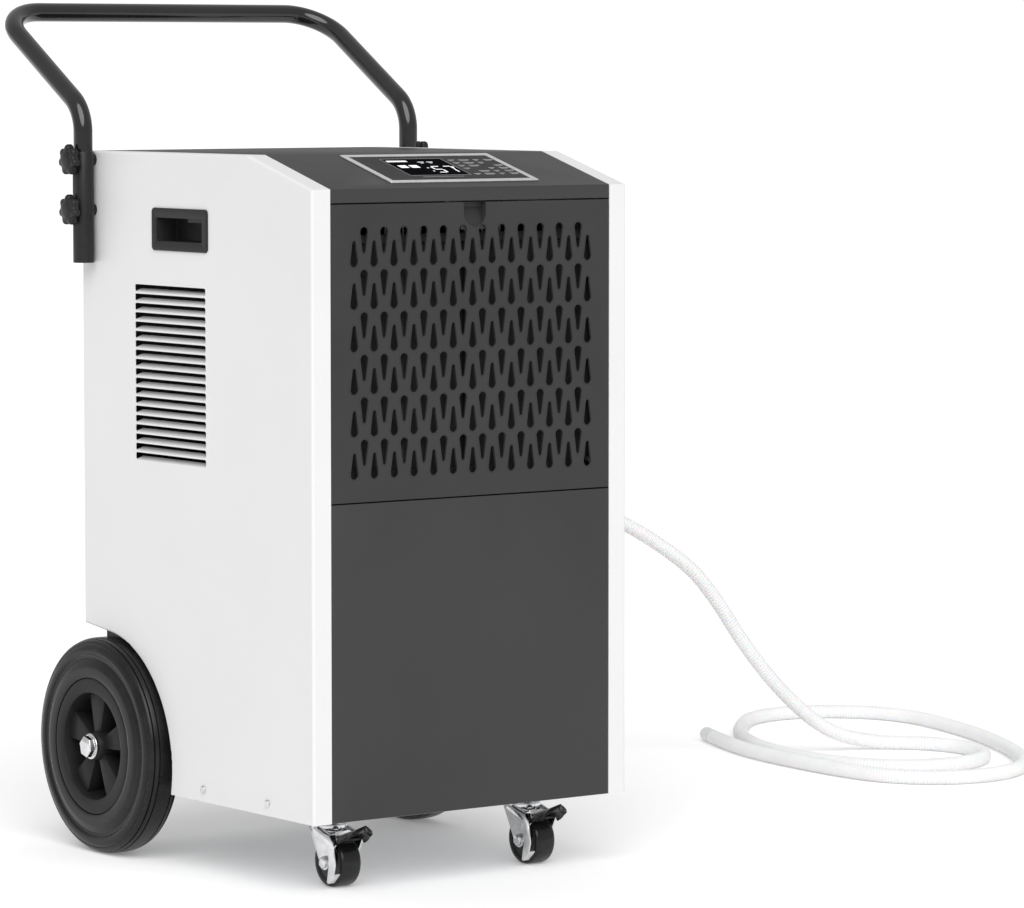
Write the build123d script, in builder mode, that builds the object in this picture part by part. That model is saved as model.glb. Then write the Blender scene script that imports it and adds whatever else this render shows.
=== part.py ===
from build123d import *
import math
import os

# A portable, wheeled dehumidifier: a sheet-metal cabinet on two big rear wheels and two braked
# swivel casters, with a bent-tube push handle and a ribbed drain hose.
# Millimetres. +X is to the right of someone facing the machine, -Y is its front, +Z is up.
# The origin is on the floor, under the centre of the machine's overall box.

os.makedirs("parts", exist_ok=True)

# ---------------------------------------------------------------- driving dimensions
overall_depth = 645.0          # front face to the back of the handle's crossbar
front = -overall_depth / 2     # the front face's Y
sheet = 1.2                    # thickness of the cabinet's steel sheet
half_width = 214.0             # cabinet's outer half width
front_half = 190.0             # half width between the white side flanges
depth = 473.6                  # cabinet, front to back
bottom = 83.0                  # underside of the cabinet above the floor
top = 810.0                    # flat top of the cabinet
slope_foot = 774.6             # where the sloped control face starts, above the front
slope_run = 126.5              # how far back the slope goes
middle_seam = 432.4            # joint between the lower front panel and the grille
upper_seam = 758.8             # joint between the grille and the top cover
seam_gap = 1.4
fit_gap = 0.05                 # radial running clearance of every shaft and pin

wheel_radius = 125.0
wheel_x = 212.0                # centre plane of a rear wheel
wheel_depth = 424.0            # rear axle behind the front face
axle_radius = 10.0

caster_x = 134.0
caster_wheel_depth = 71.0      # caster axle behind the front face
kingpin_depth = 89.0
caster_radius = 28.0
caster_half = 13.5

handle_x = 228.0
handle_depth = 447.0           # upright tubes behind the front face
handle_radius = 11.0
handle_bend_z = 856.7
crossbar_depth = overall_depth - handle_radius
crossbar_z = 970.2
sleeve_radius = 12.2
sleeve_foot = 682.0
sleeve_head = 809.4
knob_levels = {"upper": 800.0, "lower": 742.6}
stud_radius = 4.0

slope_angle = math.degrees(math.atan2(top - slope_foot, slope_run))
slope_plane = Plane(
    (0, front, slope_foot),
    x_dir=(1, 0, 0),
    z_dir=(0, -math.sin(math.radians(slope_angle)), math.cos(math.radians(slope_angle))),
)
back = front + depth
wheel_y = front + wheel_depth
handle_y = front + handle_depth
kingpin_y = front + kingpin_depth


def facing(behind_front):
    """A plane parallel to the front face, that far behind it, looking out of the front."""
    return Plane.XZ.offset(-(front + behind_front))


def rod(start, end, radius, mode=Mode.ADD):
    """Adds a straight round bar from one point to another to the part in hand, or cuts it."""
    line = Vector(*end) - Vector(*start)
    with BuildSketch(Plane(start, z_dir=line)) as end_face:
        Circle(radius)
    extrude(end_face.sketch, amount=line.length, mode=mode)


# ---------------------------------------------------------------- side panels
# Each side is one folded sheet: an outer wall with a 24 mm flange along the front, the
# slope, the top, the back and the wheel arch.
arch_y = front + 436.0
arch_z = 110.0
arch_radius = 147.5
arch_tangent = math.radians(96.2)      # where the arch runs out into its straight rear part
arch_low_y = arch_y - math.sqrt(arch_radius**2 - (bottom - arch_z) ** 2)
arch_high = (
    arch_y + arch_radius * math.cos(arch_tangent),
    arch_z + arch_radius * math.sin(arch_tangent),
)
arch_mid = (
    arch_y + arch_radius * math.cos(math.radians(140)),
    arch_z + arch_radius * math.sin(math.radians(140)),
)
arch_rear_z = arch_high[1] + (back - arch_high[0]) * math.tan(arch_tangent - math.pi / 2)
fold_radius = 3.0
flange = half_width - front_half

louvre_count = 19
louvre_pitch = 10.64
louvre_length = 148.0
louvre_height = 8.4
louvre_y = front + 286.0
louvre_z = 560.3               # middle of the louvre block
grip_y = front + 263.0
grip_z = 724.0
grip_frame = (115.0, 48.2)
grip_body = (103.0, 36.0)
grip_mouth = (94.0, 26.0)
screw_depths = (90.0, 220.0)   # the lower side screws behind the front face
side_screw_z = 97.3
nut_high = 6.0                 # the weld nuts that the handle's knobs screw into

with BuildPart() as left_side_panel:
    with BuildSketch(Plane.YZ.offset(-half_width)):
        with BuildLine():
            Polyline(
                (arch_low_y, bottom),
                (front, bottom),
                (front, slope_foot),
                (front + slope_run, top),
                (back, top),
                (back, arch_rear_z),
                arch_high,
            )
            ThreePointArc(arch_high, arch_mid, (arch_low_y, bottom))
        make_face()
    extrude(amount=flange)
    outer_wall = left_side_panel.faces().sort_by(Axis.X)[0]
    folds = outer_wall.edges().sort_by(Axis.Z)[1:]
    fillet(folds, fold_radius)
    inside = left_side_panel.faces().sort_by(Axis.X)[-1]
    underneath = left_side_panel.faces().filter_by(Axis.Z).sort_by(Axis.Z)[0]
    offset(amount=-sheet, openings=[inside, underneath])
    with BuildSketch(Plane.YZ.offset(-half_width - 1)):
        with Locations((louvre_y, louvre_z)):
            with GridLocations(1, louvre_pitch, 1, louvre_count):
                RectangleRounded(louvre_length, louvre_height, 2.6)
        with Locations((grip_y, grip_z)):
            RectangleRounded(grip_body[0] + 1, grip_body[1] + 1, 4)
        with Locations([(front + d, side_screw_z) for d in screw_depths]):
            Circle(2.0)
    extrude(amount=sheet + 2, mode=Mode.SUBTRACT)
    with BuildSketch(Plane.YZ.offset(-half_width + sheet)):
        with Locations([(handle_y, z) for z in knob_levels.values()]):
            RegularPolygon(6.8, 6)
    extrude(amount=nut_high)
    with BuildSketch(Plane.YZ.offset(-half_width)):
        with Locations([(handle_y, z) for z in knob_levels.values()]):
            Circle(stud_radius + fit_gap)
    extrude(amount=sheet + nut_high, mode=Mode.SUBTRACT)
    louvre_foot = louvre_z - louvre_pitch * (louvre_count - 1) / 2 - louvre_height / 2
    for i in range(louvre_count):
        foot = louvre_foot + i * louvre_pitch
        with BuildSketch(Plane.XZ.offset(-(louvre_y + louvre_length / 2 - 1))):
            with BuildLine():
                Polyline(
                    (-half_width + 0.9, foot - 0.7),
                    (-half_width + 10.2, foot + 2.6),
                    (-half_width + 9.8, foot + 3.6),
                    (-half_width + 0.1, foot + 0.2),
                    close=True,
                )
            make_face()
        extrude(amount=louvre_length - 2)
left_side_panel.part.label = "left_side_panel"
export_step(left_side_panel.part, "parts/left_side_panel.step")

with BuildPart() as right_side_panel:
    mirror(left_side_panel.part, about=Plane.YZ)
right_side_panel.part.label = "right_side_panel"
export_step(right_side_panel.part, "parts/right_side_panel.step")

# ---------------------------------------------------------------- grip cups
# A moulded cup in each side, to lift the machine by, with a rim that laps the panel.
rim_thick = 2.2
cup_depth = 29.0

with BuildPart() as left_grip_cup:
    with BuildSketch(Plane.YZ.offset(-half_width)):
        with Locations((grip_y, grip_z)):
            RectangleRounded(*grip_frame, 5)
    extrude(amount=-rim_thick)
    rim_front = left_grip_cup.faces().sort_by(Axis.X)[0]
    fillet(rim_front.edges(), 1.2)
    with BuildSketch(Plane.YZ.offset(-half_width)):
        with Locations((grip_y, grip_z)):
            RectangleRounded(*grip_body, 3)
    extrude(amount=cup_depth)
    with BuildSketch(Plane.YZ.offset(-half_width - rim_thick)):
        with Locations((grip_y, grip_z)):
            RectangleRounded(*grip_mouth, 2)
    extrude(amount=cup_depth - 1, mode=Mode.SUBTRACT)
left_grip_cup.part.label = "left_grip_cup"
export_step(left_grip_cup.part, "parts/left_grip_cup.step")

with BuildPart() as right_grip_cup:
    mirror(left_grip_cup.part, about=Plane.YZ)
right_grip_cup.part.label = "right_grip_cup"
export_step(right_grip_cup.part, "parts/right_grip_cup.step")

# ---------------------------------------------------------------- base, back and covers
pan_half = half_width - sheet - 0.3
pan_wall = 1.6
pan_height = 26.0
arch_clear_y = arch_low_y - front - 6.0      # the pan's wide part stops ahead of the wheels
pan_waist = front_half - 7.0

with BuildPart() as base_pan:
    with BuildSketch(Plane.XY.offset(bottom)):
        with Locations((0, front + 2)):
            Rectangle(2 * pan_half, arch_clear_y - 2, align=(Align.CENTER, Align.MIN))
        with Locations((0, front + 2)):
            Rectangle(2 * pan_waist, depth - 5, align=(Align.CENTER, Align.MIN))
    extrude(amount=pan_height)
    offset(amount=-pan_wall, openings=base_pan.faces().sort_by(Axis.Z)[-1])
    with BuildSketch(Plane.XY.offset(bottom - 1)):
        with Locations([(s * caster_x, kingpin_y) for s in (-1, 1)]):
            with GridLocations(46, 36, 2, 2):
                Circle(2.6)
    extrude(amount=pan_wall + 2, mode=Mode.SUBTRACT)
    with BuildSketch(Plane.YZ.offset(-pan_half - 1)):
        with Locations([(front + d, side_screw_z) for d in screw_depths]):
            Circle(1.7)
    extrude(amount=2 * pan_half + 2, mode=Mode.SUBTRACT)
base_pan.part.label = "base_pan"
export_step(base_pan.part, "parts/base_pan.step")

cover_half = front_half - 0.6
cover_wall = 1.6
control_x = 3.0
control_middle = 69.5          # middle of the control panel, up the slope from its foot

with BuildPart() as top_cover:
    with BuildSketch(Plane.YZ.offset(-cover_half)):
        with BuildLine():
            Polyline(
                (front, upper_seam + seam_gap / 2),
                (front, slope_foot),
                (front + slope_run, top),
                (back, top),
                (back, top - 22),
                (back - cover_wall, top - 22),
                (back - cover_wall, top - cover_wall),
                (front + slope_run + 0.2, top - cover_wall),
                (front + cover_wall, slope_foot - cover_wall / 2),
                (front + cover_wall, upper_seam + seam_gap / 2),
                close=True,
            )
        make_face()
    extrude(amount=2 * cover_half)
    brow = (
        top_cover.edges()
        .filter_by(Axis.X)
        .filter_by_position(Axis.Y, front - 0.1, front + 0.1)
        .sort_by(Axis.Z)[-1]
    )
    fillet(brow, 1.4)
    with BuildSketch(slope_plane):
        with Locations((control_x, control_middle)):
            Rectangle(150, 76)
    extrude(amount=-6, mode=Mode.SUBTRACT)
top_cover.part.label = "top_cover"
export_step(top_cover.part, "parts/top_cover.step")

lower_panel_thick = 1.6
lower_panel_return = 15.0

with BuildPart() as lower_front_panel:
    with BuildSketch(facing(0)):
        with Locations((0, bottom + 0.4)):
            Rectangle(
                2 * cover_half,
                middle_seam - seam_gap / 2 - bottom - 0.4,
                align=(Align.CENTER, Align.MIN),
            )
    extrude(amount=-lower_panel_return)
    rear_side = lower_front_panel.faces().sort_by(Axis.Y)[-1]
    offset(amount=-lower_panel_thick, openings=rear_side)
    with BuildSketch(Plane.XY.offset(bottom - 1)):
        with Locations((0, front + lower_panel_thick)):
            Rectangle(2 * cover_half + 1, lower_panel_return, align=(Align.CENTER, Align.MIN))
    extrude(amount=pan_height + 3, mode=Mode.SUBTRACT)
lower_front_panel.part.label = "lower_front_panel"
export_step(lower_front_panel.part, "parts/lower_front_panel.step")

outlet_x = 130.0
outlet_z = 402.0
outlet_radius = 10.0
gland_x = -120.0
gland_z = 140.0
gland_radius = 8.0
back_screw_levels = (290.0, 470.0, 650.0, 780.0)

with BuildPart() as back_panel:
    with BuildSketch(facing(depth)):
        with Locations((0, arch_rear_z + 4)):
            Rectangle(2 * cover_half, top - 24.5 - arch_rear_z - 4, align=(Align.CENTER, Align.MIN))
        with Locations((0, bottom + 2)):
            Rectangle(2 * pan_waist, arch_rear_z + 2 - bottom, align=(Align.CENTER, Align.MIN))
        with Locations((outlet_x, outlet_z)):
            Circle(outlet_radius, mode=Mode.SUBTRACT)
        with Locations((gland_x, gland_z)):
            Circle(gland_radius, mode=Mode.SUBTRACT)
        with Locations((0, 300)):
            with GridLocations(26, 9, 7, 9):
                SlotOverall(20, 4, mode=Mode.SUBTRACT)
    extrude(amount=sheet)
back_panel.part.label = "back_panel"
export_step(back_panel.part, "parts/back_panel.step")

# Screws that hold the shells: two low on each side, and the back panel's edge.
with BuildPart() as case_screws:
    for side in (-1, 1):
        for d in screw_depths:
            outside = (side * (half_width + 2.2), front + d, side_screw_z)
            seat = (side * half_width, front + d, side_screw_z)
            tip = (side * (pan_half - 6), front + d, side_screw_z)
            rod(seat, outside, 4.2)
            rod(tip, seat, 1.6)
        for z in back_screw_levels:
            seat = (side * (cover_half - 10), back, z)
            outside = (side * (cover_half - 10), back + 2.0, z)
            rod(seat, outside, 4.0)
case_screws.part.label = "case_screws"
export_step(case_screws.part, "parts/case_screws.step")

# ---------------------------------------------------------------- control panel
# It lies on the sloped face: a silver frame, a glossy touch sheet and the display's window.
control_size = (202.0, 104.0)
frame_bar = 7.0
window_x = -14.0
window_up = 73.5
window_size = (80.0, 60.0)

with BuildPart() as control_bezel:
    with BuildSketch(slope_plane):
        with Locations((control_x, control_middle)):
            RectangleRounded(*control_size, 2)
            Rectangle(
                control_size[0] - 2 * frame_bar,
                control_size[1] - 2 * frame_bar,
                mode=Mode.SUBTRACT,
            )
    extrude(amount=1.8)
control_bezel.part.label = "control_bezel"
export_step(control_bezel.part, "parts/control_bezel.step")

with BuildPart() as control_overlay:
    with BuildSketch(slope_plane):
        with Locations((control_x, control_middle)):
            Rectangle(control_size[0] - 2 * frame_bar - 0.2, control_size[1] - 2 * frame_bar - 0.2)
        with Locations((window_x, window_up)):
            Rectangle(*window_size, mode=Mode.SUBTRACT)
    extrude(amount=1.2)
control_overlay.part.label = "control_overlay"
export_step(control_overlay.part, "parts/control_overlay.step")

with BuildPart() as display_window:
    with BuildSketch(slope_plane.offset(-3.2)):
        with Locations((window_x, window_up)):
            Rectangle(window_size[0] - 0.3, window_size[1] - 0.3)
    extrude(amount=4.3)
display_window.part.label = "display_window"
export_step(display_window.part, "parts/display_window.step")

# ---------------------------------------------------------------- grille door and its filter
# The moulded intake grille hangs on two pins near its foot and tips forward for the filter.
door_half = front_half - 0.8
door_foot = middle_seam + seam_gap / 2
door_head = upper_seam - seam_gap / 2
door_deep = 12.0
door_wall = 2.2
door_hinge = (6.0, 447.0)      # behind the front face, and height
hinge_pin_radius = 2.0
drop_pitch = 26.5
drop_rows = 6
drop_row_pitch = 46.3
upper_drop_z = 718.9           # middle of the top row's drops with the round end up
lower_drop_z = 704.2           # and of those with the round end down
drop_height = 28.6
drop_big = 5.2
drop_small = 2.2
notch_width = 30.0
notch_foot = 731.0
notch_deep = 9.0


def drop(round_end_up):
    """One teardrop outline, centred on its own middle."""
    reach = drop_height / 2
    way = 1 if round_end_up else -1
    with BuildSketch() as outline:
        with Locations((0, way * (reach - drop_big))):
            Circle(drop_big)
        with Locations((0, -way * (reach - drop_small))):
            Circle(drop_small)
        make_hull()
    return outline.sketch


with BuildPart() as notch_scoop:
    with BuildSketch(facing(0)):
        with Locations((control_x, notch_foot + notch_width / 2)):
            Circle(notch_width / 2)
        with Locations((control_x, notch_foot + notch_width / 2)):
            Rectangle(notch_width, 40, align=(Align.CENTER, Align.MIN))
    extrude(amount=-notch_deep)
    with BuildSketch(Plane.YZ.offset(control_x - notch_width)):
        with BuildLine():
            Polyline(
                (front - 1, notch_foot - 1),
                (front + notch_deep, door_head - 6),
                (front + notch_deep, door_head + 20),
                (front - 1, door_head + 20),
                close=True,
            )
        make_face()
    extrude(amount=2 * notch_width, mode=Mode.INTERSECT)

with BuildPart() as front_grille:
    with BuildSketch(facing(0)):
        with Locations((0, door_foot)):
            Rectangle(2 * door_half, door_head - door_foot, align=(Align.CENTER, Align.MIN))
    extrude(amount=-door_deep)
    fillet(front_grille.faces().sort_by(Axis.Y)[0].edges(), 0.8)
    offset(amount=-door_wall, openings=front_grille.faces().sort_by(Axis.Y)[-1])
    with BuildSketch(facing(door_wall / 2)):
        with Locations((control_x, notch_foot - 3)):
            Rectangle(notch_width + 5, door_head - notch_foot + 1, align=(Align.CENTER, Align.MIN))
    extrude(amount=-(door_deep - door_wall / 2 - 0.2))
    add(notch_scoop.part, mode=Mode.SUBTRACT)
    with BuildSketch(facing(0)):
        with Locations((0, upper_drop_z - drop_row_pitch * (drop_rows - 1) / 2)):
            with GridLocations(drop_pitch, drop_row_pitch, 12, drop_rows):
                add(drop(True))
        with Locations((0, lower_drop_z - drop_row_pitch * (drop_rows - 1) / 2)):
            with GridLocations(drop_pitch, drop_row_pitch, 13, drop_rows):
                add(drop(False))
    extrude(amount=-door_wall - 0.1, mode=Mode.SUBTRACT)
    with BuildSketch(Plane.YZ.offset(-door_half - 1)):
        with Locations((front + door_hinge[0], door_hinge[1])):
            Circle(hinge_pin_radius + fit_gap)
    extrude(amount=2 * door_half + 2, mode=Mode.SUBTRACT)
front_grille.part.label = "front_grille"
export_step(front_grille.part, "parts/front_grille.step")

with BuildPart() as door_hinge_pins:
    for side in (-1, 1):
        with BuildSketch(facing(sheet)):
            with Locations((side * (door_half + 8.2), door_hinge[1])):
                Rectangle(14, 12)
        extrude(amount=-9.5)
        pin_y = front + door_hinge[0]
        start = (side * (door_half + 1.5), pin_y, door_hinge[1])
        end = (side * (door_half - 5.0), pin_y, door_hinge[1])
        rod(start, end, hinge_pin_radius)
door_hinge_pins.part.label = "door_hinge_pins"
export_step(door_hinge_pins.part, "parts/door_hinge_pins.step")

filter_half = 172.0
filter_foot = 456.0
filter_head = 724.0
filter_bar = 9.0

with BuildPart() as filter_frame:
    with BuildSketch(facing(door_deep + 0.5)):
        with Locations((0, (filter_foot + filter_head) / 2)):
            Rectangle(2 * filter_half, filter_head - filter_foot)
            Rectangle(
                2 * (filter_half - filter_bar),
                filter_head - filter_foot - 2 * filter_bar,
                mode=Mode.SUBTRACT,
            )
            with GridLocations(86, 1, 3, 1):
                Rectangle(3.5, filter_head - filter_foot - filter_bar)
    extrude(amount=-5)
    with BuildSketch(facing(door_wall)):
        with Locations([(x, z) for x in (-166, 166) for z in (465, 715)]):
            Circle(3.5)
    extrude(amount=-(door_deep + 0.6 - door_wall))
filter_frame.part.label = "filter_frame"
export_step(filter_frame.part, "parts/filter_frame.step")

with BuildPart() as filter_mesh:
    with BuildSketch(facing(door_deep + 5.5)):
        with Locations((0, (filter_foot + filter_head) / 2)):
            Rectangle(2 * filter_half - 4, filter_head - filter_foot - 4)
    extrude(amount=-1)
filter_mesh.part.label = "filter_mesh"
export_step(filter_mesh.part, "parts/filter_mesh.step")

# ---------------------------------------------------------------- push handle
# One bent tube whose ends stand in two sleeves on the cabinet's sides.
tube_wall = 1.6
corner_bend = 54.0
lean_bend = 46.0
handle_foot = sleeve_foot + 14.0
crossbar_y = front + crossbar_depth

with BuildPart() as handle_tube:
    with BuildLine() as handle_line:
        FilletPolyline(
            (-handle_x, handle_y, handle_foot),
            (-handle_x, handle_y, handle_bend_z),
            (-handle_x, crossbar_y, crossbar_z),
            (handle_x, crossbar_y, crossbar_z),
            (handle_x, handle_y, handle_bend_z),
            (handle_x, handle_y, handle_foot),
            radius=[lean_bend, corner_bend, corner_bend, lean_bend],
        )
    with BuildSketch(Plane.XY.offset(handle_foot)):
        with Locations((-handle_x, handle_y)):
            Circle(handle_radius)
            Circle(handle_radius - tube_wall, mode=Mode.SUBTRACT)
    sweep()
    for z in knob_levels.values():
        left = (-handle_x - 20, handle_y, z)
        right = (handle_x + 20, handle_y, z)
        rod(left, right, stud_radius + fit_gap, mode=Mode.SUBTRACT)
handle_tube.part.label = "handle_tube"
export_step(handle_tube.part, "parts/handle_tube.step")

# A sleeve stands off its panel on two short collars, where the knobs' studs pass.
collar_radius = 7.0

for side, word in ((-1, "left"), (1, "right")):
    with BuildPart() as handle_sleeve:
        with BuildSketch(Plane.XY.offset(sleeve_foot)):
            with Locations((side * handle_x, handle_y)):
                Circle(sleeve_radius)
        extrude(amount=sleeve_head - sleeve_foot)
        for z in knob_levels.values():
            rod((side * half_width, handle_y, z), (side * (handle_x - 6), handle_y, z), collar_radius)
        with BuildSketch(Plane.XY.offset(sleeve_foot + 4)):
            with Locations((side * handle_x, handle_y)):
                Circle(handle_radius + fit_gap)
        extrude(amount=sleeve_head - sleeve_foot, mode=Mode.SUBTRACT)
        for z in knob_levels.values():
            start = (side * (handle_x - 20), handle_y, z)
            end = (side * (handle_x + 20), handle_y, z)
            rod(start, end, stud_radius + fit_gap, mode=Mode.SUBTRACT)
    handle_sleeve.part.label = word + "_handle_sleeve"
    export_step(handle_sleeve.part, "parts/" + word + "_handle_sleeve.step")

# Four star knobs, each moulded on its own threaded stud.
knob_radius = 17.0
knob_lobes = 7
knob_thick = 8.6
knob_face = handle_x + sleeve_radius + 0.6

for side, word in ((-1, "left"), (1, "right")):
    for level, z in knob_levels.items():
        seat = Plane((side * knob_face, handle_y, z), z_dir=(side, 0, 0))
        with BuildPart() as star_knob:
            with BuildSketch(seat):
                Circle(10)
            extrude(amount=2.4)
            with BuildSketch(seat.offset(2.2)):
                Circle(knob_radius - 3.2)
                with PolarLocations(knob_radius - 4.2, knob_lobes):
                    Circle(4.2)
            extrude(amount=knob_thick)
            outer_face = star_knob.faces().filter_by(Axis.X).sort_by(Axis.X)[0 if side < 0 else -1]
            fillet(outer_face.edges(), 1.6)
            with BuildSketch(seat):
                Circle(stud_radius)
            extrude(amount=-(knob_face - half_width + sheet + 5))
        star_knob.part.label = word + "_" + level + "_knob"
        export_step(star_knob.part, "parts/" + word + "_" + level + "_knob.step")

# ---------------------------------------------------------------- rear axle and wheels
hub_radius = 17.5
hub_half = 23.6                # hub barrel's half length
rim_outer = 79.0
rim_window = 61.0
spoke_count = 5
axle_end = wheel_x + hub_half + 0.3

with BuildPart() as rear_axle:
    rod((-axle_end, wheel_y, wheel_radius), (axle_end, wheel_y, wheel_radius), axle_radius)
rear_axle.part.label = "rear_axle"
export_step(rear_axle.part, "parts/rear_axle.step")

# A plated flange-head bolt in each end of the axle keeps its wheel on.
flange_radius = 15.0
head_across = 22.0
head_high = 6.6

with BuildPart() as axle_bolts:
    for side in (-1, 1):
        seat = Plane((side * axle_end, wheel_y, wheel_radius), z_dir=(side, 0, 0))
        with BuildSketch(seat):
            Circle(flange_radius)
        extrude(amount=2.6)
        with BuildSketch(seat.offset(2.6)):
            RegularPolygon(head_across / 2, 6, major_radius=False, rotation=15)
        extrude(amount=head_high)
axle_bolts.part.label = "axle_bolts"
export_step(axle_bolts.part, "parts/axle_bolts.step")

bracket_x = 168.0

with BuildPart() as axle_brackets:
    for side in (-1, 1):
        with BuildSketch(Plane.YZ.offset(side * bracket_x - 2)):
            with Locations((wheel_y, bottom + pan_wall)):
                Rectangle(70, 62, align=(Align.CENTER, Align.MIN))
            with Locations((wheel_y, wheel_radius)):
                Circle(axle_radius, mode=Mode.SUBTRACT)
        extrude(amount=4)
        with BuildSketch(Plane.XY.offset(bottom + pan_wall)):
            with Locations((side * (bracket_x - 10), wheel_y)):
                Rectangle(24, 70)
        extrude(amount=4)
axle_brackets.part.label = "axle_brackets"
export_step(axle_brackets.part, "parts/axle_brackets.step")

# A closing sheet inside each arch keeps the wheel out of the works.
well_x = front_half - 5.5
well_edge = 3.0

with BuildPart() as wheel_wells:
    for side in (-1, 1):
        with BuildSketch(Plane.YZ.offset(side * well_x - 0.6)):
            with BuildLine():
                Line((arch_low_y - well_edge, bottom + 2), (back - 2, bottom + 2))
                Line((back - 2, bottom + 2), (back - 2, arch_rear_z + well_edge))
                Line((back - 2, arch_rear_z + well_edge), (arch_high[0], arch_high[1] + well_edge))
                ThreePointArc(
                    (arch_high[0], arch_high[1] + well_edge),
                    (arch_mid[0] - well_edge * 0.77, arch_mid[1] + well_edge * 0.64),
                    (arch_low_y - well_edge, bottom + 2),
                )
            make_face()
            with Locations((wheel_y, wheel_radius)):
                Circle(axle_radius, mode=Mode.SUBTRACT)
        extrude(amount=1.2)
wheel_wells.part.label = "wheel_wells"
export_step(wheel_wells.part, "parts/wheel_wells.step")

# The tyre is a solid rubber ring with a ribbed tread and a stepped sidewall; the rim has
# five broad spokes. Both are turned and cut about the axle.
for side, word in ((-1, "left"), (1, "right")):
    middle = Plane((side * wheel_x, wheel_y, wheel_radius), x_dir=(0, 0, 1), z_dir=(0, 1, 0))
    axle_line = Axis((side * wheel_x, wheel_y, wheel_radius), (1, 0, 0))
    face_on = Plane((side * wheel_x, wheel_y, wheel_radius), x_dir=(0, 1, 0), z_dir=(side, 0, 0))
    with BuildPart() as tyre:
        with BuildSketch(middle):
            with BuildLine():
                Polyline(
                    (rim_outer, -24.6),
                    (85, -25.0),
                    (92, -24.8),
                    (101, -22.0),
                    (104, -21.6),
                    (111, -22.8),
                    (118, -20.8),
                    (122.3, -16.6),
                    (wheel_radius - 0.6, -11.0),
                    (wheel_radius, -6.0),
                    (wheel_radius, 6.0),
                    (wheel_radius - 0.6, 11.0),
                    (122.3, 16.6),
                    (118, 20.8),
                    (111, 22.8),
                    (104, 21.6),
                    (101, 22.0),
                    (92, 24.8),
                    (85, 25.0),
                    (rim_outer, 24.6),
                    close=True,
                )
            make_face()
        revolve(axis=axle_line)
    tyre.part.label = word + "_tyre"
    export_step(tyre.part, "parts/" + word + "_tyre.step")

    with BuildPart() as rim:
        with BuildSketch(face_on.offset(-24.5)):
            Circle(rim_outer)
            Circle(rim_window, mode=Mode.SUBTRACT)
        extrude(amount=49)
        with BuildSketch(face_on.offset(-hub_half)):
            Circle(hub_radius)
        extrude(amount=2 * hub_half)
        with BuildSketch(face_on.offset(-6)):
            with PolarLocations(0, spoke_count, start_angle=90):
                with BuildLine():
                    Polyline(
                        (hub_radius - 4, -6),
                        (rim_window + 2, -17.5),
                        (rim_window + 2, 17.5),
                        (hub_radius - 4, 6),
                        close=True,
                    )
                make_face()
        extrude(amount=23)
        with BuildSketch(face_on.offset(-hub_half - 1)):
            Circle(axle_radius + fit_gap)
        extrude(amount=2 * hub_half + 2, mode=Mode.SUBTRACT)
    rim.part.label = word + "_rim"
    export_step(rim.part, "parts/" + word + "_rim.step")

# ---------------------------------------------------------------- front casters
# Top plate with its kingpin, swivelling fork, wheel on a bolt, and a foot brake whose black
# pedal and plated side lever rock together on a pin through the fork.
plate_under = bottom - 2.5
race_under = 71.6
crown_top = 71.2
crown_under = 61.0
leg_inside = 16.1
leg_thick = 2.2
kingpin_radius = 5.0
caster_axle_radius = 4.0
brake_pin = (51.5, 54.5)       # behind the front face, and height
brake_pin_radius = 2.5
pedal_rise = 16.0              # degrees
caster_y = front + caster_wheel_depth
brake_y = front + brake_pin[0]
lever_inside = 22.6

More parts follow.
